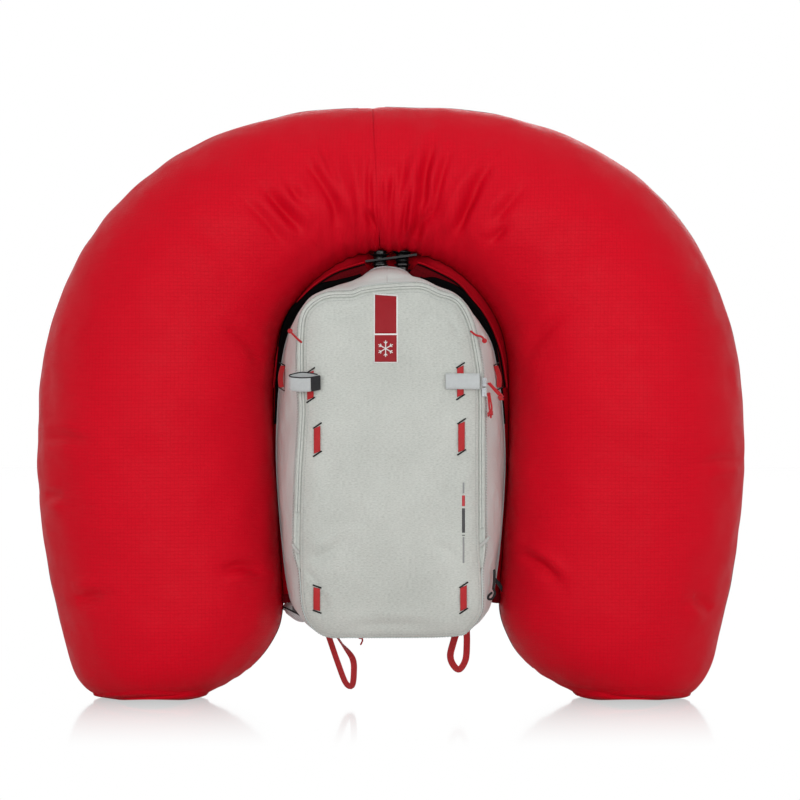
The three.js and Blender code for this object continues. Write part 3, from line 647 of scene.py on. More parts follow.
def floor():
    """A wide pale floor that is white to the camera but for a soft mirror image that fades with height."""
    f = Finish("studio_floor", 0.2)
    tree = f.tree
    tree.nodes.remove(f.shader)
    glow = f.node("ShaderNodeEmission", (1, 1, 1, 1), 1.0)
    gloss = f.node("ShaderNodeBsdfGlossy")
    gloss.inputs["Color"].default_value = (1, 1, 1, 1)
    gloss.inputs["Roughness"].default_value = 0.09
    paint = f.node("ShaderNodeBsdfDiffuse", (0.85, 0.85, 0.85, 1))
    # The mirror image fades out towards the front of the floor.
    depth = f.node("ShaderNodeSeparateXYZ", f.node("ShaderNodeNewGeometry").outputs["Position"]).outputs[1]
    fade = f.math("POWER", f.ramp(depth, -0.50, -0.01), 1.4)
    seen = f.node("ShaderNodeMixShader", f.math("MULTIPLY", fade, 0.5), glow.outputs[0], gloss.outputs[0])
    rays = f.node("ShaderNodeLightPath")
    both = f.node("ShaderNodeMixShader", rays.outputs["Is Camera Ray"], paint.outputs[0], seen.outputs[0])
    tree.links.new(both.outputs[0], tree.nodes["Material Output"].inputs["Surface"])
    side = 12
    points = [(-side, -side, -0.0005), (side, -side, -0.0005), (side, side, -0.0005),
              (-side, side, -0.0005)]
    sheet = build("floor", np.array(points, float), [[0, 1, 2, 3]], f.material, body=None)


# ---- Airbag --------------------------------------------------------------------------------------
AIRBAG = {"half": 518, "top": 866, "shoulder": 363, "roundness": 2.4, "arch_half": 172, "arch_spring": 480,
          "arch_top": 657, "depth_share": 0.88, "foot_depth": 0.082}
# Below the shoulder: the lobe's outer and inner edge, from the side of the pack to the foot.
LEG = [(516, 305, 172, 390), (510, 245, 169, 300), (501, 185, 164, 215), (489, 128, 159, 150),
       (477, 80, 161, 118), (464, 40, 170, 93), (451, 20, 187, 66), (436, 8, 216, 38), (420, 3, 252, 16),
       (404, 0, 288, 0)]
SEAM_TOP, SEAM_BOTTOM = -27, -16  # x of the seam between the two chambers

# Creases of the front: a route in XZ, depth of its valley, half-width, and the side of its ridge.
CREASES = [
    ([(-178, 737), (-152, 706), (-124, 676)], 7, 11, 1),
    ([(-117, 775), (-95, 745), (-79, 711), (-76, 682)], 7, 11, 1),
    ([(61, 806), (49, 762), (45, 717), (31, 676), (24, 652)], 8, 10, -1),
    ([(145, 778), (114, 732), (99, 693), (90, 669)], 7, 11, -1),
    ([(61, 713), (46, 690), (34, 666)], 5, 8, -1),
    ([(165, 685), (141, 661)], 5, 9, -1),
    ([(-146, 744), (-129, 717)], 4, 9, 1),
    ([(-40, 711), (-22, 685), (-18, 655)], 5, 8, 1),
    ([(-8, 730), (-8, 690), (-6, 662)], 5, 7, 1),
    ([(18, 780), (12, 720), (8, 662)], 4, 8, -1),
    ([(-60, 800), (-48, 740), (-42, 700)], 3, 14, 1),
    ([(-452, 150), (-408, 161)], 5, 12, 1),
    ([(432, 161), (462, 135)], 5, 12, -1),
    ([(-98, 800), (-84, 762), (-66, 728)], 4, 8, -1),
    ([(84, 796), (72, 756), (64, 722), (60, 690)], 5, 8, -1),
    ([(128, 742), (108, 706), (96, 676)], 4, 7, -1),
    ([(190, 742), (160, 706), (138, 672)], 4, 10, -1),
    ([(-208, 722), (-176, 690), (-150, 656)], 4, 10, 1),
    ([(-28, 790), (-30, 736), (-26, 690)], 4, 7, 1),
    ([(4, 762), (0, 715), (-2, 668)], 5, 6, -1),
    ([(30, 752), (22, 708), (14, 664)], 5, 6, -1),
    ([(-232, 540), (-205, 520), (-186, 490)], 3, 12, 1),
    ([(246, 560), (214, 530), (192, 498)], 3, 12, -1),
    ([(-505, 380), (-470, 384), (-430, 378)], 3, 10, 1),
    ([(-500, 300), (-468, 302)], 3, 10, -1),
    ([(505, 350), (470, 352), (440, 346)], 3, 10, 1),
    ([(186, 215), (214, 200), (240, 176)], 5, 10, 1),
    ([(-184, 190), (-210, 200), (-240, 196)], 5, 10, 1),
    ([(-300, 700), (-250, 660), (-215, 610)], 2.5, 22, 1),
    ([(330, 690), (270, 650), (225, 600)], 2.5, 22, -1),
]
BACK_CREASES = [
    ([(-170, 745), (-140, 700), (-110, 668)], 7, 12, 1),
    ([(-70, 790), (-58, 730), (-50, 675)], 6, 11, 1),
    ([(60, 800), (48, 735), (38, 672)], 7, 11, -1),
    ([(160, 760), (125, 705), (95, 670)], 7, 12, -1),
    ([(0, 780), (2, 720), (0, 665)], 5, 9, 1),
    ([(-430, 180), (-385, 190)], 5, 12, 1),
    ([(425, 200), (465, 180)], 5, 12, -1),
]


def chamber_edges(side, rows):
    """Matching points of the outer and inner edge, from the top seam to the foot, as (x, z, x, z)."""
    stations = [(SEAM_TOP, AIRBAG["top"], SEAM_BOTTOM, AIRBAG["arch_top"])]
    if side > 0:
        stations.append((0, AIRBAG["top"], 0, AIRBAG["arch_top"]))
    power = 2 / AIRBAG["roundness"]
    for degrees in range(80, -1, -10):
        c, s = math.cos(math.radians(degrees)), math.sin(math.radians(degrees))
        rise, arch_rise = AIRBAG["top"] - AIRBAG["shoulder"], AIRBAG["arch_top"] - AIRBAG["arch_spring"]
        stations.append((side * AIRBAG["half"] * c**power, AIRBAG["shoulder"] + rise * s**power,
                         side * AIRBAG["arch_half"] * c, AIRBAG["arch_spring"] + arch_rise * s))
    stations += [(side * a, b, side * c, d) for a, b, c, d in LEG]
    return curve(mm(stations), rows)


def creased(points, creases):
    """How far creases push points of the XZ plane in (negative) or out."""
    push = np.zeros(len(points))
    for route, depth, width, ridge in creases:
        line = curve(mm(route), 24)
        near = np.linalg.norm(points - line.mean(0), axis=1) < 0.16
        far, side, along = distances(points[near], line)
        fade = np.clip(np.sin(math.pi * np.clip(along, 0.02, 0.98)), 0, 1) ** 0.6
        w = width / 1000
        valley = -1.5 * np.exp(-((far / (0.75 * w)) ** 2))
        swell = 0.9 * np.exp(-(((far - 1.7 * w) / (0.9 * w)) ** 2)) * (side == ridge)
        other = 0.25 * np.exp(-(((far - 2.1 * w) / (1.3 * w)) ** 2)) * (side != ridge)
        push[near] += depth / 1000 * fade * (valley + swell + other)
    return push


def chamber(side, name):
    """One side of the airbag: a tube round its two edges, creased, gathered and flattened at its foot."""
    rows, columns = 430, 208
    edges = chamber_edges(side, rows)
    outer, inner = edges[:, :2], edges[:, 2:]
    middle, across = (outer + inner) / 2, (outer - inner) / 2
    half = np.linalg.norm(across, axis=1)
    across /= half[:, None]
    depth = np.maximum(half * AIRBAG["depth_share"], AIRBAG["foot_depth"])
    # The seam between the chambers is tucked in, and the foot's edge is rounded.
    tuck = np.minimum(np.arange(rows) / 5, 1)
    tuck = 0.988 + 0.012 * np.sqrt(1 - (1 - tuck) ** 2)
    half, depth = half * tuck, depth * tuck
    angle = np.linspace(0, 2 * math.pi, columns, endpoint=False)
    c, s = np.cos(angle), -np.sin(angle)
    points = np.zeros((rows, columns, 3))
    for k, axis in enumerate((0, 2)):
        points[:, :, axis] = middle[:, k, None] + across[:, k, None] * half[:, None] * c
    points[:, :, 1] = depth[:, None] * s
    arc = np.abs(np.where(angle > math.pi, angle - 2 * math.pi, angle)) - math.pi / 2
    reach = -arc[None, :] * ((half + depth) / 2)[:, None]
    plan = middle[:, None] + across[:, None] * reach[:, :, None]
    plan[:, :, 1] += np.where(s > 0, 3.0, 0.0)[None, :]

    flat = points.reshape(-1, 3)
    xz, front = flat[:, (0, 2)], flat[:, 1] < 0
    push = np.zeros(len(flat))
    push[front] += creased(xz[front], CREASES)
    push[~front] += creased(xz[~front], BACK_CREASES)
    push += 0.0016 * waves(flat, 0.16, 3) + 0.0009 * waves(flat, 0.06, 4)
    # The seam round the inner edge pulls the cloth into short puckers.
    run = np.repeat(distance_along(edges), columns)
    reach_flat = np.tile(np.abs(np.sin(angle)), rows) * np.repeat(depth, columns)
    pucker = np.sin(run * 2 * math.pi / 0.026 + 1.7 * np.sin(run * 31))
    pucker *= np.tile(np.where(c < 0, 0.0007, 0), rows)
    push += pucker * (np.exp(-((reach_flat / 0.028) ** 2)) - np.exp(-((reach_flat / 0.009) ** 2)))
    # Pleats gather the cloth over the air inlet.
    gather = np.exp(-(((xz[:, 0] + 0.005) / 0.075) ** 2)) * np.clip((0.80 - xz[:, 1]) / 0.14, 0, 1)
    push += 0.0018 * gather * np.sin(xz[:, 0] * 2 * math.pi / 0.017 + 5 * xz[:, 1])
    row = np.arange(rows)
    push *= np.repeat(np.clip(row / 5, 0.2, 1) * np.clip((rows - 1 - row) / 12, 0, 1), columns)
    flat = pushed(points, push)
    # The foot is round from front to back, and flattened where it rests on the floor.
    rest = 1.3 * flat[:, 1] ** 2
    over = flat[:, 2] - rest
    flattened = 0.008 * np.exp(np.minimum(over / 0.008 - 1, 0)) - 0.0029
    flat[:, 2] = rest + np.where(over > 0.008, over, flattened)
    flat[:, 2] = np.maximum(flat[:, 2], 0)
    cloth = flat.reshape(rows, columns, 3)
    bag = surface(f"airbag_{name}_chamber", cloth, RED, wrap_columns=True, plan=plan, caps=True)
    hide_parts(f"airbag_{name}_front", f"airbag_{name}_back")
    # A taped seam runs round both edges of the chamber.
    for which, line, sign in (("outer", cloth[:, 0], 1), ("inner", cloth[:, columns // 2], -1)):
        path = resample((line + sign * 0.0004 * at_depth(across, 0))[6:-26], 300)
        sweep(f"airbag_{name}_{which}_seam", path, flat_section(0.0030, 0.0010), DARK_RED_TAPE_AND_SHADE, across=(0, 1, 0))


# ---- Pack body -----------------------------------------------------------------------------------
# The front panel's edge and the back of the side walls, in XZ, counter-clockwise from the bottom.
FRONT_EDGE = [(0, 105.5), (60, 106), (96, 108.5), (107, 113.5), (124, 136), (127, 156), (125.5, 200),
              (123, 250), (122.5, 370), (122.5, 440), (120, 470), (116.5, 497), (109, 535), (99, 560),
              (87, 574), (66, 581), (44, 590.5), (20, 591), (-12, 589), (-38, 585.5), (-54, 580),
              (-86, 578.5), (-106, 569), (-117.5, 553), (-121, 525), (-121.5, 480), (-119, 425),
              (-121, 380), (-124, 330), (-126.5, 245), (-126, 200), (-122.5, 150), (-112, 124), (-90, 107),
              (-50, 105.5)]
BACK_EDGE = [(0, 118), (105, 118), (137, 130), (150, 160), (160, 240), (166, 340), (163, 420), (155, 480),
             (146, 520), (129, 549), (110, 571), (90, 588), (65, 601), (45, 609), (31, 616), (21, 625),
             (7, 630), (-10, 631.5), (-24, 629), (-34, 623), (-45, 615), (-76, 601), (-98, 590), (-126, 567),
             (-142, 550), (-154, 520), (-161, 480), (-166, 420), (-167, 340), (-160, 240), (-150, 160),
             (-137, 130), (-105, 118)]
FRONT_Y, ZIP_Y, BACK_Y = -0.170, -0.1655, -0.014
ZIP_OFFSET = 0.0095  # the zip's width, from the front panel to the side wall
AROUND = 460


def widening(z):
    """How much wider the zip is at a height than at its two lower ends, where it narrows."""
    share = np.clip((z - 0.190) / 0.045, 0, 1)
    return (ZIP_OFFSET - 0.0016) * share**2 * (3 - 2 * share)


front_edge = curve(mm(FRONT_EDGE), AROUND, closed=True)
back_edge = curve(mm(BACK_EDGE), AROUND, closed=True)
zip_width = 0.0016 + widening(front_edge[:, 1])
zip_edge = offset(front_edge, zip_width[:, None])
front_loop = curve(mm(FRONT_EDGE), 150, closed=True)
front_loop = np.vstack([front_loop, front_loop[:1]])


def inset_of(xz):
    """How far points of the front panel are in from its edge."""
    return distances(xz, front_loop)[0]


def crown(inset):
    """How far the front panel stands forward at a distance in from its edge."""
    return 0.0155 * (1 - np.exp(-inset / 0.018))


FRONT_CREASES = [
    ([(-113, 213), (-88, 225), (-62, 243)], 1.8, 9, 1),
    ([(-127, 206), (-112, 192), (-100, 180)], 1.4, 7, -1),
    ([(96, 210), (80, 226), (55, 236)], 1.4, 10, -1),
    ([(-95, 560), (-70, 555), (-40, 566)], 1.2, 8, 1),
    ([(60, 560), (85, 548), (100, 520)], 1.3, 8, -1),
    ([(-90, 380), (-84, 330), (-88, 285)], 1.3, 16, 1),
    ([(92, 385), (86, 330), (92, 260)], 1.3, 16, -1),
    ([(-60, 118), (0, 124), (60, 119)], 1.5, 9, 1),
    ([(-98, 135), (-92, 152), (-96, 172)], 1.4, 7, -1),
]


def front_relief(xz):
    """The front panel's folds and slack, outward."""
    slack = 0.0011 * waves(xz, 0.11, 11) + 0.0005 * waves(xz, 0.045, 12)
    return 1.3 * creased(xz, FRONT_CREASES) + slack


def on_front(xz, lift=0.0):
    """Points of the front panel, lifted off it; xz may be one point or a grid of them, in metres."""
    xz = np.asarray(xz, float)
    flat = xz.reshape(-1, 2)
    inset = inset_of(flat)
    y = FRONT_Y - crown(inset) - front_relief(flat) * np.clip(inset / 0.02, 0, 1)
    y = y.reshape(xz.shape[:-1]) - lift
    return np.concatenate([xz[..., :1], y[..., None], xz[..., 1:]], -1)


def front_grid(rows, columns):
    """A grid in XZ that fills the front panel's edge: a blend of its four sides."""
    corners = [int(np.argmin(np.linalg.norm(front_edge - mm(c), axis=1))) for c in
               ((-119, 136), (120, 119), (93, 569), (-112, 562))]

    def side(start, end, count, back=False):
        first, last = (end, start) if back else (start, end)
        last = last if last > first else last + AROUND
        run = resample(np.array([front_edge[i % AROUND] for i in range(first, last + 1)]), count)
        return run[::-1] if back else run

    bottom = side(corners[0], corners[1], columns)[None]
    top = side(corners[3], corners[2], columns, back=True)[None]
    left = side(corners[0], corners[3], rows, back=True)[:, None]
    right = side(corners[1], corners[2], rows)[:, None]
    v = np.linspace(0, 1, rows)[:, None, None]
    u = np.linspace(0, 1, columns)[None, :, None]
    ruled = (1 - v) * bottom + v * top + (1 - u) * left + u * right
    return ruled - ((1 - u) * (1 - v) * left[0] + u * (1 - v) * right[0]
                    + (1 - u) * v * left[-1] + u * v * right[-1])


def front_fabric():
    """The front panel's cloth, one sheet over the flap and the lower panel, and its edge stitching."""
    points = on_front(front_grid(230, 118))
    # The cloth turns in behind the edge and is sewn to the zip tape.
    for out, back in ((0.0005, 0.0012), (-0.0010, 0.0026)):
        middle = points.mean((0, 1))
        points = np.pad(points, ((1, 1), (1, 1), (0, 0)), mode="edge")
        rim = np.ones(points.shape[:2], bool)
        rim[1:-1, 1:-1] = False
        away = points[rim] - middle
        away /= np.linalg.norm(away, axis=1)[:, None]
        points[rim] += away * (out, 0, out) + (0, back, 0)
    cloth = surface("front_fabric", points, GREY, plan=points[:, :, (0, 2)], body=None, facing=(0, -1, 0))
    weld(cloth)
    thicken(cloth, 0.0012)
    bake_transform(cloth)
    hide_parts("front_flap", "front_panel_lower")
    seam = offset(front_edge, -0.0035)
    path = on_front(resample(np.vstack([seam, seam[:1]]), 430), 0.0003)
    thread = stitches("front_edge_stitching", path, GREY_THREAD, (0, -1, 0), body=None)
    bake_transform(thread)


def thicken(obj, thickness, inward=True):
    """Gives a sheet its thickness, for good."""
    solidify = obj.modifiers.new("thickness", "SOLIDIFY")
    solidify.thickness = thickness
    solidify.offset = -1 if inward else 0
    bpy.context.view_layer.update()
    graph = bpy.context.evaluated_depsgraph_get()
    mesh = bpy.data.meshes.new_from_object(obj.evaluated_get(graph))
    obj.modifiers.clear()
    obj.data = mesh


def weld(obj):
    """Joins the points of a mesh that lie in one place."""
    editable = bmesh.new()
    editable.from_mesh(obj.data)
    bmesh.ops.remove_doubles(editable, verts=editable.verts, dist=1e-6)
    editable.to_mesh(obj.data)
    editable.free()


def gusset_points(share):
    """The side wall's section at a share of the way back: a slightly swollen blend of its two edges."""
    return offset((1 - share) * zip_edge + share * back_edge, 0.0045 * math.sin(math.pi * share))


def gusset_depth(share):
    """The side wall's depth at a share of the way back."""
    return ZIP_Y + share * (BACK_Y - ZIP_Y)


def gusset_fabric():
    """The side walls, top and bottom in one, their piping and the stitching beside the zip."""
    shares = np.linspace(0, 1, 46)
    points = np.stack([at_depth(gusset_points(share), gusset_depth(share)) for share in shares])
    flat = points.reshape(-1, 3)
    fade = np.repeat(np.sin(math.pi * shares) ** 0.7, AROUND)
    push = (0.0018 * waves(flat, 0.10, 21) + 0.0008 * waves(flat, 0.035, 22)) * fade
    perimeter = np.linspace(0, 1.5, AROUND)
    plan = np.stack(np.meshgrid(shares * (BACK_Y - ZIP_Y), perimeter, indexing="ij"), -1)
    # The side walls are in the lighter, tinted grey: painted light.
    cloth = surface("side_and_base_fabric", pushed(points, push).reshape(points.shape), GREY_SIDE_LIT,
                    wrap_columns=True, plan=plan)
    thicken(cloth, 0.0014)
    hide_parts("gusset_top", "gusset_left", "gusset_right", "bottom_panel")
    rim = np.vstack([back_edge, back_edge[:1]])
    cord_mesh("back_edge_piping", resample(at_depth(rim, BACK_Y), 420), 0.0016, GREY_TAPE, sides=8)
    for k, share in enumerate((0.025, 0.05)):
        loop = at_depth(offset(gusset_points(share), 0.0004), gusset_depth(share))
        stitches(f"zip_seam_stitching_{k + 1}", np.vstack([loop, loop[:1]]), GREY_THREAD, (0, -1, 0))


# ---- Zip -----------------------------------------------------------------------------------------
ZIP_RIGHT_END, ZIP_LEFT_END = 0.258, 0.280


def main_zip():
    """A covered zip: two tapes that meet in a fine line, from the right side over the top to the left."""
    line = offset(front_edge, zip_width[:, None] / 2)
    low = np.argmin(np.abs(line[:, 1] - ZIP_RIGHT_END) + (line[:, 0] < 0) * 9)
    high = np.argmin(np.abs(line[:, 1] - ZIP_LEFT_END) + (line[:, 0] > 0) * 9)
    above = line[:, 1] > 0.2
    strip = np.roll(line, -int(np.argmax(~above & (line[:, 0] > 0))), 0)
    path = resample(at_depth(strip[strip[:, 1] > 0.2], -0.1672), 460)
    tape = sweep("zip_tape", path, tapered(0.0026 + widening(path[:, 2]), 0.0011), GREY, across=radial(path))
    chain = resample(at_depth(line[low:high + 1], -0.1683), 420)
    for k, shift in enumerate((-0.0017, 0.0017)):
        side = chain + radial(chain) * shift
        sweep(f"zip_lip_{k + 1}", side, flat_section(0.0031, 0.0010, 0.0002), GREY, across=radial(side))
    sweep("zip_meeting_line", chain + radial(chain) * 0.0001 + (0, -0.0001, 0), flat_section(0.0006, 0.0006),
          DARK_THREAD, across=radial(chain))
    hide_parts("main_zip_chain")
    garages()


def garages():
    """The folded cloth hoods that the zip's two ends run under."""
    routes = {"right": [(122, 231), (131, 238), (138.5, 246)],
              "left": [(-138, 236), (-133, 228), (-127, 222)]}
    for name, ends in routes.items():
        path = at_depth(curve(mm(ends), 30), -0.1688 - 0.0012 * np.sin(np.linspace(0, math.pi, 30)))
        # The hoods are in the darker grey: painted shade.
        sweep(f"zip_garage_{name}", path, flat_section(0.0045, 0.0009, 0.0003), GREY_SHADE,
              across=radial(path), scale=rounded_ends(path, 0.003))


# ---- Trims of the front --------------------------------------------------------------------------
LOOPS = {  # name: middle x, top z, height, slant of its ends, body
    "gear_loop_left_1": (-112, 476, 37, 4, "front_flap"),
    "gear_loop_left_2": (-102.5, 399, 35, 4, "front_flap"),
    "gear_loop_left_3": (-103, 175, 31, -2, "root"),
    "gear_loop_right_1": (97, 483, 40, 4, "front_flap"),
    "gear_loop_right_2": (98.6, 405, 39, 4, "front_flap"),
    "gear_loop_right_3": (101.4, 177, 32, 4, "root"),
}


def gear_loops():
    """The red webbing loops of the front and the side walls, with their bar-tacks."""
    for name, (x, top, height, slant, body) in LOOPS.items():
        x, top, height, slant = x / 1000, top / 1000, height / 1000, slant / 1000
        t = np.linspace(0, 1, 30)
        across = np.linspace(-1, 1, 9)
        a, share = np.meshgrid(across, t)
        bulge = 0.0022 * np.sin(math.pi * share) ** 0.8 + 0.0007
        xz = np.stack([x + 0.0045 * a, top - height * share + slant * a * 0.5], -1)
        points = on_front(xz, bulge + 0.0006 * (1 - a * a))
        loop = surface(name + "_webbing", points, RED_TAPE, body=body, facing=(0, -1, 0))
        thicken(loop, 0.0012, inward=False)
        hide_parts(name)
        for end, z in (("top", top + 0.0022), ("bottom", top - height - 0.0022)):
            a, b = on_front([(x - 0.0055, z - slant * 0.9), (x + 0.0055, z + slant * 0.9)], 0.0013)
            merged(f"{name}_{end}_tack", bar_tack(a, b, 0.0022), BLACK_INK_THREAD, body=body)
    for side, word in SIDES:
        name = f"gear_loop_gusset_{word}"
        low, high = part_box(name)
        t = np.linspace(0, 1, 24)
        y = -0.066 - 0.010 * t
        z = high.z - (high.z - low.z) * t
        wall = gusset_points((-0.071 - ZIP_Y) / (BACK_Y - ZIP_Y))
        wall = wall[wall[:, 0] * side > 0]
        x = np.interp(z, *wall[np.argsort(wall[:, 1])].T[::-1])
        x += side * (0.0030 + 0.0022 * np.sin(math.pi * t))
        path = np.column_stack([x, y, z])
        loop = sweep(name + "_webbing", path, flat_section(0.0095, 0.0013), RED_TAPE,
                     across=(side * 0.75, 0.66, 0))
        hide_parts(name)
        for end, z in (("top", high.z + 0.002), ("bottom", low.z - 0.002)):
            spot = path[0] if end == "top" else path[-1]
            turn = np.array((side * 0.0042, 0.0042, 0.0025))
            a, b = (spot[0], spot[1] - 0.001, z) - turn, (spot[0], spot[1] - 0.001, z) + turn
            merged(f"{name}_{end}_tack", bar_tack(a, b, 0.0022), BLACK_INK_THREAD)


def label():
    """The red band and square at the top of the front; the square bears a plain snow crystal."""
    def patch(name, left, right, top_left, top_right, bottom, lift, material):
        a, b = np.meshgrid(np.linspace(0, 1, 14), np.linspace(0, 1, 26))
        top = top_left + (top_right - top_left) * a
        xz = mm(np.stack([left + (right - left) * a, top * (1 - b) + bottom * b], -1))
        piece = surface(name, on_front(xz, lift), material, body="front_flap", facing=(0, -1, 0))
        thicken(piece, 0.0004)
        return piece

    patch("label_backing", -23.8, 10.0, 586.6, 584.2, 488.4, 0.0006, INK_WHITE)
    band = patch("label_band", -22, 8, 584.2, 582.0, 529.6, 0.0011, LABEL_RED)
    patch("label_square", -22.3, 8.4, 527.4, 527.4, 490, 0.0011, LABEL_RED)
    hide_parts("label_badge")
    crystal()


def crystal():
    """A six-armed snow crystal, two short branches on each arm."""
    bars = []
    cx, cz, size = -0.007, 0.5085, 0.0118

    def bar(x0, z0, x1, z1, radius):
        bars.append(capsule(*on_front([(cx + x0, cz + z0), (cx + x1, cz + z1)], 0.0016), radius))

    for arm in range(6):
        a = math.radians(60 * arm + 30)
        c, s = math.cos(a), math.sin(a)
        bar(0, 0, size * c, size * s, 0.0007)
        for turn in (45, -45):
            b = a + math.radians(turn)
            x, z = 0.6 * size * c, 0.6 * size * s
            bar(x, z, x + 0.3 * size * math.cos(b), z + 0.3 * size * math.sin(b), 0.0006)
    merged("label_crystal", bars, INK_WHITE, body="front_flap")


def printed_lines():
    """A plain upright graphic at the lower right: bars of three tones, no lettering."""
    for name, low, high, x, width, material in (
        ("print_grey_lower", 210, 246, 101.5, 2.4, INK_GREY),
        ("print_black", 249, 286, 101.5, 4.2, INK_BLACK),
        ("print_red", 289, 304, 101.5, 4.2, INK_RED),
        ("print_grey_upper", 307, 322, 101.5, 2.4, INK_GREY),
    ):
        split = [(low, 248), (252, high)] if low < 250 < high else [(low, high)]
        for k, (a, b) in enumerate(split):
            w, z = np.meshgrid((-0.5, 0, 0.5), np.linspace(a, b, 20))
            points = on_front(mm(np.stack([x + w * width, z], -1)), 0.0004)
            piece = surface(f"{name}_{k + 1}", points, material, body=None, facing=(0, -1, 0))
            thicken(piece, 0.00025)
            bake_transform(piece)


def axe_tabs():
    """Two webbing tabs: the right one lies across the front, the left one has sprung open and curls."""
    hinge, y, z = 0.1245, -0.1886, 0.463
    t = np.linspace(0, 1, 40)[:, None]
    path = np.hstack([hinge - 0.0005 - 0.0475 * t, y + 0.0006 * np.sin(3 * t), np.full((40, 1), z)])
    tab = sweep("axe_tab_right_webbing", path, flat_section(0.022, 0.0024), GREY_TAPE, across=(0, 0, 1),
                body="axe_tab_right")
    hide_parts("axe_tab_right")
    for k, s in enumerate((-1, 1)):
        stitches(f"axe_tab_right_stitching_{k + 1}", path + (0, -0.0014, s * 0.0092), GREY_THREAD,
                 (0, -1, 0), body="axe_tab_right")
    low, high = ((hinge + 0.0015, -0.1800, z + s * 0.011) for s in (-1, 1))
    merged("axe_tab_right_tack", bar_tack(low, high, 0.003, count=11), GREY_THREAD, body="front_flap")
    curl = curve(mm([(-101, -187.5), (-112, -182), (-123.5, -179.5), (-133, -183.5), (-140.5, -189.5),
                     (-137, -196), (-122, -199), (-108, -196.5), (-98, -191)]), 90)
    # Its top tips forward, so that the open curl shows from the front.
    tip = 0.38
    axis = np.array([0, -math.sin(tip), math.cos(tip)])
    middle = np.column_stack([curl, z - 0.001 + (curl[:, 1] + 0.189) * math.tan(tip)])
    lean = np.tile(axis, (90, 1))
    opened = sweep("axe_tab_left_webbing", middle, flat_section(0.021, 0.0017), GREY_TAPE, across=lean,
                   body="axe_tab_left")
    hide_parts("axe_tab_left")
    sweep("axe_tab_left_grip", middle[-15:], flat_section(0.0216, 0.0026), BLACK_TAPE, across=lean[-15:],
          body="axe_tab_left")
    for k, s in enumerate((-1, 1)):
        stitches(f"axe_tab_left_stitching_{k + 1}", middle[4:-14] + (0, -0.0006, s * 0.0086), GREY_THREAD,
                 (0, -1, 0), body="axe_tab_left")
    cord_mesh("axe_tab_left_edge", middle + axis * 0.0104, 0.0010, BLACK_TAPE, sides=8, body="axe_tab_left")


def ski_loops():
    """The two red loops under the bottom. Their tape twists, so that its face shows from the front."""
    t = np.linspace(0, 1, 90)
    routes = {"left": [(-95, 108), (-89, 90), (-77, 55), (-66, 27), (-57, 22), (-54, 40), (-56, 62),
                       (-72, 84), (-87.5, 108)],
              "right": [(97.5, 108), (90, 84), (86, 66), (90, 53), (99, 46), (108, 60), (110, 84),
                        (109.5, 108)]}
    turns = {"left": 1.1 * np.clip((0.86 - t) * 6, 0.1, 1),
             "right": 1.5 * np.clip(np.minimum(t, 1 - t) * 9 + 0.45, 0, 1)}
    for name, route in routes.items():
        path = at_depth(curve(mm(route), 90), -0.045)
        across = np.array([0, 1, 0]) + radial(path) * turns[name][:, None]
        loop = sweep(f"ski_loop_{name}_webbing", path, flat_section(0.0115, 0.0015), RED_TAPE, across=across,
                     body=f"ski_loop_{name}")
        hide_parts(f"ski_loop_{name}")


def sliders_and_pulls():
    """The two cord pulls of the main zip, each a doubled cord with a knot."""
    routes = {"upper": [(135.7, -169, 461), (143, -170, 453), (151, -171, 445), (157, -171, 436)],
              "lower": [(135.7, -169, 447), (136.5, -174.8, 440), (138.5, -175, 424), (139.5, -175, 411)]}
    for which, route in routes.items():
        body = f"zip_pull_{which}"
        path = curve(mm(route), 60)
        sway = 0.0011 * np.sin(np.linspace(0, 9, 60))[:, None] * np.linspace(0, 1, 60)[:, None]
        line = path + sway * (0.6, 0, 0.8)
        cord = cord_mesh(f"zip_pull_{which}_cord", line, 0.0014, RED_CORD, body=body)
        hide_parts(body)
        tail = cord_mesh(f"zip_pull_{which}_second_strand", path[:48] + sway[:48] * (-0.8, 0, 0.4)
                         + (0.0024, -0.0004, 0.0004), 0.0013, RED_CORD, body=body)
        knot = path[-12]
        turns = np.linspace(0, 4 * math.pi, 70)
        along, side, out = frames(path)
        ring = (knot + np.outer(0.0026 * np.cos(turns), side[-12])
                + np.outer(0.0026 * np.sin(turns), out[-12])
                + np.outer(np.linspace(-0.003, 0.003, 70), along[-12]))
        end = cord_mesh(f"zip_pull_{which}_knot", ring, 0.0017, RED_CORD, body=body)


def black_bands():
    """The black edges of the opened airbag compartment."""
    # Each band's width where it passes a given x, from the inlet down to the side.
    widths = {"left": ([-166, -155, -133, -100, -76, -45], [6, 12, 20, 21, 14, 8]),
              "right": ([45, 60, 88, 120, 138, 152, 163], [9, 16, 19, 16, 10, 7, 5])}
    for side, (x, width) in widths.items():
        sign = 1 if side == "right" else -1
        run = back_edge[(sign * back_edge[:, 0] > 0.040) & (back_edge[:, 1] > 0.40)]
        wide = np.interp(run[:, 0], mm(x), mm(width))
        line = offset(run, (wide / 2 - 0.0015)[:, None], closed=False)
        path = resample(np.column_stack([at_depth(line, -0.0140), wide]), 130)
        path, wide = path[:, :3], path[:, 3]
        sweep(f"compartment_edge_{side}", path, tapered(wide, 0.0024), DEEP_BLACK,
                             across=radial(path))
    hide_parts("airbag_cover_front")


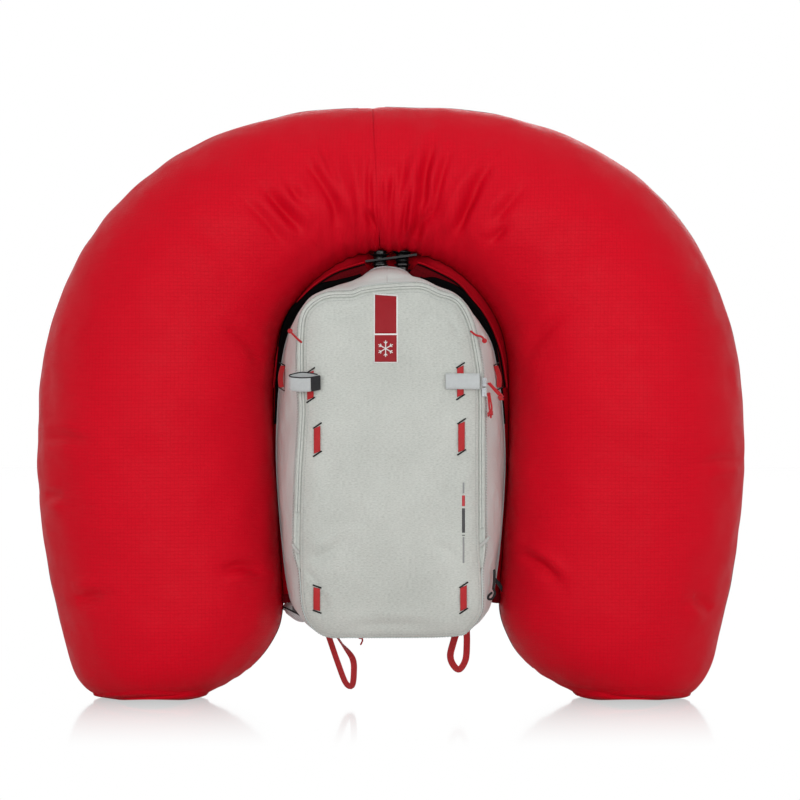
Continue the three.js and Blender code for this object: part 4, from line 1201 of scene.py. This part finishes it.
def airbag_skirt():
    """The red cloth round the pack's back edge that joins the airbag to the opened compartment; painted
    shade.
    """
    inner = resample(offset(back_edge, -0.002)[back_edge[:, 1] > 0.139], 300)
    half = [(162, 139), (168, 200), (174, 300), (176, 400), (176, 480), (170, 530), (155, 575), (130, 614),
            (90, 645), (46, 659)]
    outer = curve(mm([*half, (-8, 676), *((-x, z) for x, z in reversed(half))]), 300)
    share = np.linspace(0, 1, 14)[:, None, None]
    xz = (1 - share) * inner[None] + share * outer[None]
    ruffle = 0.0011 * waves(xz.reshape(-1, 2), 0.03, 31).reshape(xz.shape[:2])
    y = -0.0115 + 0.0165 * share[:, :, 0] + ruffle * np.sin(math.pi * share[:, :, 0])
    # Behind the air inlet it passes to the wearer's side of the two necks.
    y = y + 0.0290 * np.exp(-((xz[:, :, 0] / 0.050) ** 4)) * (xz[:, :, 1] > 0.5)
    points = np.stack([xz[:, :, 0], y, xz[:, :, 1]], -1)
    # The skirt is in the darker red copy: painted shade.
    skirt = surface("airbag_skirt", points, RED_SHADED, facing=(0, -1, 0))
    thicken(skirt, 0.0006)
    # The compartment's opening: a lining in dark red, which is painted shade, with a corded edge, round the
    # top of each side.
    rims = {"right": [(38, 636), (52, 631), (88, 613), (105, 599), (118, 582), (136, 560), (150, 532),
                      (160, 500), (167, 455)],
            "left": [(-38, 636), (-77, 624), (-103, 609), (-124, 591), (-143, 567), (-156, 536),
                     (-164, 500), (-169, 455)]}
    for name, route in rims.items():
        rim = curve(mm(route), 120)
        toward = back_edge[np.argmin(np.linalg.norm(rim[:, None] - back_edge[None], axis=2), axis=1)]
        share = np.linspace(0, 1, 8)[:, None, None]
        xz = (1 - share) * rim[None] + share * (toward + (rim - toward) * 0.1)[None]
        points = np.stack([xz[:, :, 0], np.full((8, 120), -0.0118), xz[:, :, 1]], -1)
        lining = surface(f"compartment_shaded_lining_{name}", points, DARK_RED_TAPE_AND_SHADE, facing=(0, -1, 0))
        thicken(lining, 0.0006)
        path = at_depth(rim, -0.0135)
        cord_mesh(f"compartment_rim_{name}", path, 0.0011, DEEP_BLACK, sides=8)
        away = 1 if name == "right" else -1
        lit = path - away * radial(path) * 0.0032
        # The binding is in the darker red copy: painted shade.
        sweep(f"compartment_binding_{name}", lit, flat_section(0.0026, 0.0014), RED_SHADED,
              across=radial(path))


def layer(name, edge, y_front, y_back):
    """A black cloth panel between two depths, its rim rounded."""
    spine = np.column_stack([np.zeros(len(edge)), np.clip(edge[:, 1], 0.26, 0.47)])
    share = np.linspace(0, 1, 40)[:, None, None]
    xz = spine[None] + share * (edge - spine)[None]
    rim = np.clip((1 - share[:, :, 0]) * 8, 0, 1)
    middle = (y_front + y_back) / 2
    swell = 0.25 + 0.75 * np.sqrt(1 - (1 - rim) ** 2)
    depths = [middle + (y - middle) * swell for y in (y_back, y_front)]
    near, far = (np.stack([xz[:, :, 0], y + np.zeros(xz.shape[:2]), xz[:, :, 1]], -1) for y in depths)
    points = np.concatenate([near, far[::-1]])
    made = surface(name, points, BLACK_CLOTH, wrap_columns=True, plan=points[:, :, (0, 2)])
    weld(made)
    return made


def back_pad():
    """The spacer-mesh back pad: two long cushions either side of a hollow, crossed by sewn channels."""
    edge = resample(np.vstack([offset(back_edge, -0.020)] * 2)[:AROUND + 1], 300, closed=True)
    spine = np.column_stack([np.zeros(300), np.clip(edge[:, 1], 0.26, 0.47)])
    share = np.linspace(0, 1, 70)[:, None, None]
    xz = spine[None] + share * (edge - spine)[None]
    x, z = xz[:, :, 0], xz[:, :, 1]
    inset = distances(xz.reshape(-1, 2), np.vstack([edge, edge[:1]]))[0].reshape(x.shape)
    pillow = 0.0125 * (1 - np.exp(-inset / 0.014))
    pillow -= 0.0075 * np.exp(-((x / 0.02) ** 2))
    for height in (0.205, 0.285, 0.365, 0.445, 0.52):
        slope = z - height - 0.10 * np.abs(x)
        pillow -= 0.0055 * np.exp(-((slope / 0.0065) ** 2)) * np.clip(inset / 0.02, 0, 1)
    pillow += 0.0006 * waves(xz.reshape(-1, 2), 0.03, 41).reshape(x.shape)
    back = np.stack([x, 0.0185 + np.maximum(pillow, 0.0005), z], -1)
    front = np.stack([x[::-1], np.full(x.shape, 0.0157), z[::-1]], -1)
    points = np.concatenate([back, front])
    pad = surface("back_pad_mesh", points, BLACK_MESH, wrap_columns=True, plan=points[:, :, (0, 2)])
    weld(pad)
    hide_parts("back_pad")
    rim = at_depth(edge, 0.0185)
    cord_mesh("back_pad_binding", np.vstack([rim, rim[:2]]), 0.0019, BLACK_TAPE, sides=8)


def back_panels():
    """The cloth over the frame sheet and divider, and the airbag compartment's wall and rear edge."""
    sheet_edge = resample(offset(back_edge, -0.008), 260, closed=True)
    cover = layer("back_panel_cloth", sheet_edge, 0.0130, 0.0155)
    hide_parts("frame_sheet")
    divider_edge = resample(offset(back_edge, -0.004), 260, closed=True)
    divider = layer("divider_cloth", divider_edge, -0.0136, -0.0118)
    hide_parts("divider_panel")
    # The wall of the airbag's compartment: cloth round the pack's sides and bottom.
    low = back_edge[(back_edge[:, 1] < 0.41)]
    order = np.argsort(np.arctan2(low[:, 0], 0.5 - low[:, 1]))
    run = resample(offset(low[order], -0.0035, closed=False), 240)
    share = np.linspace(0, 1, 10)[:, None]
    points = np.stack(np.broadcast_arrays(run[:, 0], -0.0125 + 0.0262 * share, run[:, 1]), -1)
    points[:, :, 0] += 0.0008 * np.sin(share * math.pi) * np.sign(points[:, :, 0])
    wall = surface("compartment_wall_cloth", points, BLACK_CLOTH, facing=(0, 0, -1))
    thicken(wall, 0.0014)
    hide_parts("compartment_wall")
    top = curve(mm([(122, 560), (100, 588), (70, 608), (36, 622), (0, 628), (-36, 622), (-70, 608),
                    (-100, 588), (-126, 560)]), 160)
    path = at_depth(top, 0.0115)
    rear = sweep("compartment_edge_rear", path, flat_section(0.010, 0.0026), BLACK_CLOTH,
                 across=radial(path))
    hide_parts("airbag_cover_rear")


STRAP_PATH = [(58, 34, 566), (60, 60, 577), (66, 98, 574), (74, 142, 545), (80, 168, 500), (84, 174, 440),
              (87, 170, 385), (90, 152, 335)]
STRAP_TAIL = [(89, 158, 348), (92, 140, 312), (98, 110, 268), (106, 72, 236), (114, 35, 218)]


def pillow_section():
    """The section of a padded strap of unit width and thickness: nearly square, with soft corners."""
    a = np.linspace(0, 2 * math.pi, 40, endpoint=False)
    c, s = np.cos(a), np.sin(a)
    return np.column_stack([np.sign(c) * np.abs(c) ** 0.45, np.sign(s) * np.abs(s) ** 0.8]) / 2


def padded_strip(name, path, across, widths, thickness, material, channels, **more):
    """A padded strap: its width varies along it, and stitched channels cross it."""
    t = np.linspace(0, 1, len(path))
    long = distance_along(path)[-1]
    width = spread(widths, len(path))
    ends = np.sqrt(np.clip(1 - (1 - np.clip(np.minimum(t, 1 - t) * long / 0.012, 0, 1)) ** 2, 0.05, 1))
    thick = np.full(len(path), thickness)
    for channel in channels:
        thick *= 1 - 0.34 * np.exp(-(((t - channel) * long / 0.0042) ** 2))
    section = tapered(width * (0.75 + 0.25 * ends), thick * ends, pillow_section())
    piece = sweep(name, path, section, material, across=across, **more)
    return piece


def mirrored(points, side):
    """Points of the right side, moved to a side."""
    return np.asarray(points) * (side, 1, 1)


def shoulder_straps():
    """The padded shoulder straps with their covers, webbing and adjusters."""
    for side, word in SIDES:
        path = mirrored(curve(mm(STRAP_PATH), 150), side)
        _, _, out = frames(path, (1, 0, 0))
        out = out * np.sign((out * (0, 1, 0.4)).sum(1))[:, None]
        widths = (0.058, 0.062, 0.062, 0.060, 0.056, 0.052)
        pad = padded_strip(f"shoulder_strap_{word}_pad", path, (1, 0, 0), widths, 0.0118, BLACK_MESH,
                           (0.3, 0.47, 0.64, 0.81))
        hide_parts(f"shoulder_strap_{word}")
        # The outer cover, its binding and the webbing that runs down it.
        cover = path[6:-5] + out[6:-5] * 0.0046
        width = spread(widths, len(cover)) - 0.010
        sweep(f"shoulder_strap_{word}_cover", cover, tapered(width, 0.0032), BLACK_CLOTH, across=(1, 0, 0))
        sweep(f"shoulder_strap_{word}_daisy", path[14:-12] + out[14:-12] * 0.0072,
              flat_section(0.015, 0.0016), BLACK_TAPE, across=(1, 0, 0))
        tacks = []
        for k in range(24, 130, 15):
            middle = path[k] + out[k] * 0.0082
            tacks += [capsule(middle + (-0.0065, 0, o), middle + (0.0065, 0, o), 0.0005, up=(0, 1, 0))
                      for o in (-0.0008, 0.0008)]
        merged(f"shoulder_strap_{word}_tacks", tacks, GREY_THREAD, slot="black_cloth")
        for s in (-1, 1):
            edge = path[4:-4] + out[4:-4] * 0.0052
            edge[:, 0] += s * (spread(widths, 142) / 2 - 0.0072)
            stitches(f"shoulder_strap_{word}_stitching_{'inner' if s * side < 0 else 'outer'}", edge,
                     GREY_THREAD, (0, 1, 0), slot="black_cloth")
        tail = mirrored(curve(mm(STRAP_TAIL), 90), side)
        sweep(f"shoulder_strap_{word}_webbing", tail, flat_section(0.020, 0.0018), BLACK_TAPE,
              across=(1, 0, 0))
        ladder_lock(f"shoulder_strap_{word}_adjuster", tail[8], tail[14])


def ladder_lock(name, a, b):
    """A moulded adjuster: a frame with three bars across the webbing."""
    a, b = np.asarray(a), np.asarray(b)
    along = unit(b - a)
    across = np.array([1.0, 0, 0])
    lift = np.cross(across, along)
    lift *= np.sign(lift[1] + 0.2 * lift[2])
    bars = []
    centre = (a + b) / 2 + lift * 0.0012
    for share, radius in ((-1, 0.0021), (0, 0.0017), (1, 0.0021)):
        middle = centre + along * share * 0.010 + lift * (0.0014 if share == 0 else 0)
        bars.append(capsule(middle - across * 0.0135, middle + across * 0.0135, radius, up=lift))
    for s in (-1, 1):
        side = centre + across * s * 0.0132
        bars.append(capsule(side - along * 0.0118, side + along * 0.0118, 0.0024, up=lift))
    merged(name, bars, BLACK_PLASTIC)


def haul_handle():
    """The handle at the top of the wearer's side."""
    route = [(-0.020, 0.0353, 0.600), (-0.020, 0.039, 0.599), (-0.019, 0.048, 0.586), (-0.012, 0.051, 0.570),
             (0, 0.052, 0.566), (0.012, 0.051, 0.570), (0.019, 0.048, 0.586), (0.020, 0.039, 0.599),
             (0.020, 0.0353, 0.600)]
    path = curve(route, 110)
    grip = sweep("haul_handle_webbing", path, circle(0.0038, 20) * (1, 0.82), BLACK_TAPE, body="haul_handle")
    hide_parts("haul_handle")
    tacks = []
    for x in (-0.020, 0.020):
        for k in range(5):
            z = 0.5955 + 0.0022 * k
            tacks.append(capsule((x - 0.0055, 0.0338, z), (x + 0.0055, 0.0338, z), 0.0007, up=(0, 1, 0)))
    merged("haul_handle_tacks", tacks, GREY_THREAD, body="haul_handle", slot="black_cloth")


def sleeve(name, outline, z0, z1, wall, material, **more):
    """An open cloth tube of a closed XY outline."""
    inner = offset(outline, -wall)
    middle = (z0 + z1) / 2
    rows = [np.column_stack([ring, np.full(len(ring), z)]) for ring, z in
            ((outline, z0), (outline, z0 + 0.001), (outline, middle), (outline, z1 - 0.001),
             (outline, z1), (inner, z1), (inner, middle), (inner, z0))]
    return surface(name, np.stack(rows), material, wrap_rows=True, wrap_columns=True, **more)


def release():
    """The release handle and its stem in its pocket on the left shoulder strap; the cable is the imported
    part.
    """
    a = np.linspace(0, 2 * math.pi, 60, endpoint=False)
    box = np.column_stack([-0.084 + 0.0170 * np.sign(np.cos(a)) * np.abs(np.cos(a)) ** 0.35,
                           0.18875 + 0.0072 * np.sign(np.sin(a)) * np.abs(np.sin(a)) ** 0.35])
    pocket = sleeve("trigger_pocket_cloth", box, 0.4525, 0.5195, 0.0022, BLACK_CLOTH)
    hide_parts("trigger_pocket")
    for k, z in enumerate((0.4565, 0.5155)):
        loop = np.column_stack([offset(box, 0.0002), np.full(60, z)])
        stitches(f"trigger_pocket_stitching_{k + 1}", np.vstack([loop, loop[:1]]), GREY_THREAD, (0, 1, 0),
                 slot="black_cloth")
    t = np.linspace(0, 1, 90)
    path = np.column_stack([-0.112 + 0.056 * t, np.full(90, 0.1887), np.full(90, 0.420)])
    size = rounded_ends(path, 0.006) * (1 + 0.05 * np.cos(t * 2 * math.pi * 11) * np.sin(math.pi * t))
    grip = sweep("trigger_grip", path, circle(0.0076, 28), RED_PLASTIC, scale=size, body="trigger")
    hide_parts("trigger_handle")
    stem = np.column_stack([np.full(40, -0.084), np.full(40, 0.18875), np.linspace(0.4245, 0.5115, 40)])
    sweep("trigger_stem", stem, flat_section(0.0135, 0.0050), RED_TAPE, across=(1, 0, 0), body="trigger")


def sternum():
    """The two halves of the sternum strap, each with its slider."""
    for side, word, start in ((1, "right", 24), (-1, "left", 26)):
        body = "sternum_release" if side > 0 else "sternum"
        t = np.linspace(0, 1, 60)
        path = np.column_stack([side * (start + (64 - start) * t) / 1000, 0.188 + 0.0004 * np.sin(6 * t),
                                np.full(60, 0.470)])
        strap = sweep(f"sternum_strap_{word}_webbing", path, flat_section(0.0195, 0.0018), BLACK_TAPE,
                      across=(0, 0, 1), body=body)
        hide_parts(f"sternum_strap_{word}")
        bars = [capsule((side * 0.0645, y, 0.459), (side * 0.0645, y, 0.481), 0.0017, up=(0, 1, 0))
                for y in (0.1848, 0.1935)]
        bars += [capsule((side * 0.0645, 0.1848, z), (side * 0.0645, 0.1935, z), 0.0016, up=(0, 0, 1))
                 for z in (0.459, 0.481)]
        merged(f"sternum_slider_{word}", bars, BLACK_PLASTIC, body=body)


HIP_WING = [(96, 38, 164), (122, 62, 162), (134, 108, 160), (120, 152, 158), (96, 176, 158)]
HIP_WEBBING = [(104, 168, 158), (88, 182, 158), (66, 192, 158), (46, 195.5, 158), (29.5, 196, 158)]


def hip_belt():
    """The padded hip wings with their covers and belt webbing."""
    for side, word in SIDES:
        path = mirrored(curve(mm(HIP_WING), 120), side)
        wing = padded_strip(f"hip_wing_{word}_pad", path, (0, 0, 1), (0.066, 0.068, 0.066, 0.060, 0.048),
                            0.0100, BLACK_MESH, (0.2, 0.4, 0.6, 0.8))
        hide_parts(f"hip_wing_{word}")
        slope = np.gradient(path, axis=0)
        outward = side * unit(np.column_stack([slope[:, 1], -slope[:, 0], np.zeros(120)]))
        width = spread((0.052, 0.056, 0.054, 0.046, 0.036), 108)
        sweep(f"hip_wing_{word}_cover", path[6:-6] + outward[6:-6] * 0.0040, tapered(width, 0.003),
              BLACK_CLOTH, across=(0, 0, 1))
        for s in (-1, 1):
            seam = path[6:-6] + outward[6:-6] * 0.0056 + np.outer(s * (width / 2 - 0.003), (0, 0, 1))
            stitches(f"hip_wing_{word}_stitching_{'upper' if s > 0 else 'lower'}", seam, GREY_THREAD,
                     (side, 0, 0), slot="black_cloth")
        belt = mirrored(curve(mm(HIP_WEBBING), 100), side)
        sweep(f"hip_belt_{word}_webbing", belt, flat_section(0.038, 0.0019), BLACK_TAPE, across=(0, 0, 1))
        tacks = [capsule(belt[16 + k] + (0, 0.0012, -0.015), belt[16 + k] + (0, 0.0012, 0.015), 0.0006,
                         up=(0, 1, 0)) for k in range(0, 12, 2)]
        merged(f"hip_belt_{word}_tacks", tacks, GREY_THREAD, slot="black_cloth")


def hip_pocket():
    """The small mesh-fronted pocket that shows at the lower left, its elastic edge and its tape."""
    stations = curve(np.array([(-124, 23, 108, 140, 7), (-138, 30, 109, 142, 13), (-150, 34, 116, 140, 14),
                               (-160, 34, 124, 137, 7)]) / 1000, 40)
    a = np.linspace(0, 2 * math.pi, 44, endpoint=False)
    c, s = np.cos(a), np.sin(a)
    rings = []
    for k, (x, y, low, high, half) in enumerate(stations):
        ends = math.sqrt(min(1, (min(k, 39 - k) + 0.6) / 6))
        rings.append(np.column_stack([np.full(44, x), y + half * ends * np.sign(c) * np.abs(c) ** 0.7,
                                      (low + high) / 2 + (high - low) / 2 * ends * np.sign(s) * np.abs(s)
                                      ** 0.7]))
    pocket = surface("hip_pocket_mesh", np.stack(rings), POCKET_MESH, wrap_columns=True, caps=True)
    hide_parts("hip_pocket_left")
    # The elastic runs down across the front, with an open darker mesh above it.
    line = curve(mm([(-160, 21, 131), (-150, 18, 127), (-138, 16, 121), (-126, 15, 115)]), 40)
    cord_mesh("hip_pocket_elastic", line, 0.0012, BLACK_TAPE, sides=8)
    up = np.linspace(0, 1, 10)[:, None, None]
    low = line[16:] + (0, 0.0006, 0.001)
    panel = low[None] + up * np.array([0, 0.005, 1]) * np.linspace(0.006, 0.021, 24)[None, :, None]
    mesh = surface("hip_pocket_dark_mesh", panel, DARK_MESH, facing=(0, -1, 0))
    thicken(mesh, 0.0008, inward=False)
    tab = curve(mm([(-157, 24, 127), (-161, 23, 131), (-166, 22, 132)]), 20)
    sweep("hip_pocket_tab", tab, flat_section(0.005, 0.0014), GREY, across=(0, 0.3, 1))


def side_cord():
    """The black elastic cord at the lower right, with its small hook."""
    route = [(0.1474, -0.108, 0.196), (0.147, -0.112, 0.180), (0.145, -0.124, 0.167),
             (0.1426, -0.137, 0.160)]
    path = curve(route, 50)
    cord = cord_mesh("side_cord", path[:34], 0.0019, BLACK_CORD)
    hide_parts("side_bungee_hook")
    top = path[31]
    hook = curve([top, top + (0.0025, 0, -0.006), top + (-0.0015, -0.001, -0.0135),
                  top + (-0.0065, -0.001, -0.0145), top + (-0.0070, -0.001, -0.0105),
                  top + (-0.0015, 0, -0.0045)], 50)
    end = cord_mesh("side_cord_hook", hook, 0.0017, BLACK_PLASTIC)


def corner_cords():
    """The short red pulls of the side pockets, near the top corners."""
    routes = {"right": [(111, -168, 534), (119, -170, 528), (128, -166, 525), (133, -160, 517)],
              "left": [(-124, -170, 517), (-130, -169, 522), (-138, -161, 530), (-143, -152, 536)]}
    for name, points in routes.items():
        path = curve(mm(points), 40)
        cord = cord_mesh(f"pocket_pull_{name}", path, 0.0015, RED_CORD)
        turns = np.linspace(0, 4 * math.pi, 50)
        knot = path[-6] + np.column_stack([0.0022 * np.cos(turns), 0.001 * np.sin(turns),
                                           0.0022 * np.sin(turns)])
        end = cord_mesh(f"pocket_pull_{name}_knot", knot, 0.0014, RED_CORD)


def base_cord():
    """A short knotted cord end under the bottom, left of the middle."""
    path = curve(mm([(-42, -70, 106), (-43, -71, 96), (-41, -72, 91), (-44, -72, 84)]), 40)
    cord_mesh("base_cord", path, 0.0012, RED_CORD)
    turns = np.linspace(0, 4 * math.pi, 50)
    knot = path[18] + np.column_stack([0.0024 * np.cos(turns), 0.0024 * np.sin(turns),
                                       0.0009 * np.sin(turns / 2)])
    cord_mesh("base_cord_knot", knot, 0.0016, RED_CORD)


def lower_anchors():
    """The tabs that hold the airbag's lower ends to the compartment, and a loose strap end on the right."""
    for side, word in SIDES:
        path = mirrored(curve(mm([(146, -9, 147), (153, -12, 146), (160, -10, 146), (166, -5, 150)]), 30),
                        side)
        sweep(f"airbag_anchor_{word}", path, flat_section(0.013, 0.0018), DARK_RED_TAPE_AND_SHADE, across=(0, 0, 1))
    strap = curve(mm([(150, -22, 176), (156, -26, 170), (162, -24, 161), (167, -20, 152)]), 30)
    sweep("anchor_strap", strap, flat_section(0.006, 0.0014), BLACK_TAPE, across=(0.5, 0.3, 0.6))


def inlet_necks():
    """The two ribbed necks that blow the airbag up, each with a ring and a wide soft flange."""
    profile = mm([(7.2, 0), (9.2, 0), (9.3, 9), (10.6, 9.6), (10.6, 11.2), (9.4, 11.8), (9.4, 19),
                  (10.4, 20.4), (14.5, 22.4), (14.6, 23.2), (10, 22.6), (7.2, 21)])
    r, h = profile[:, 0, None], profile[:, 1, None]
    a = np.linspace(0, 2 * math.pi, 48, endpoint=False)
    for side, word, top in ((-1, "left", 0.6515), (1, "right", 0.6550)):
        points = np.stack([side * 0.0165 + r * np.cos(a), r * np.sin(a), top - 0.0232 + h + 0 * a], -1)
        surface(f"inlet_neck_{word}", points, BLACK_HOSE, wrap_rows=True, wrap_columns=True)


def hump_seam():
    """The stitched seam that runs over the hump at the top, from the zip to the back."""
    spot = int(np.argmax(back_edge[:, 1]))
    path = []
    for share in np.linspace(0.03, 0.97, 60):
        x, z = gusset_points(share)[spot]
        path.append((x + 0.002, gusset_depth(share), z + 0.0012))
    stitches("hump_seam_stitching", np.array(path), GREY_THREAD, (0, 0, 1))


def hardware():
    """Better finishes and softened edges for the CAD parts that stay."""
    looks = {BLACK_PLASTIC: ("airbag_collar_plate", "sternum_buckle_female", "sternum_buckle_male"),
             STEEL_DARK: ("zip_slider_upper", "zip_slider_lower"),
             BLACK_HOSE: ("venturi_left", "venturi_right", "pressure_hose", "release_cable"),
             STEEL: ("cartridge", "striker_pin", "striker_spring", "firing_lever"),
             ALUMINIUM: ("firing_head", "gas_manifold", "hip_buckle_plate", "hip_buckle_hook")}
    for material, names in looks.items():
        for name in names:
            data = nodes[name].data
            data.materials.clear()
            data.materials.append(material)
            bevel = nodes[name].modifiers.new("soft_edges", "BEVEL")
            bevel.width = 0.0006
            bevel.segments = 2
            bevel.angle_limit = math.radians(40)
            bevel.harden_normals = True


def draw():
    """Builds the whole picture."""
    camera()
    studio()
    for side, name in SIDES:
        chamber(side, name)
    front_fabric()
    gusset_fabric()
    main_zip()
    gear_loops()
    label()
    printed_lines()
    axe_tabs()
    ski_loops()
    sliders_and_pulls()
    black_bands()
    airbag_skirt()
    back_pad()
    back_panels()
    shoulder_straps()
    haul_handle()
    release()
    sternum()
    hip_belt()
    hip_pocket()
    side_cord()
    corner_cords()
    base_cord()
    lower_anchors()
    inlet_necks()
    hump_seam()
    hardware()


draw()
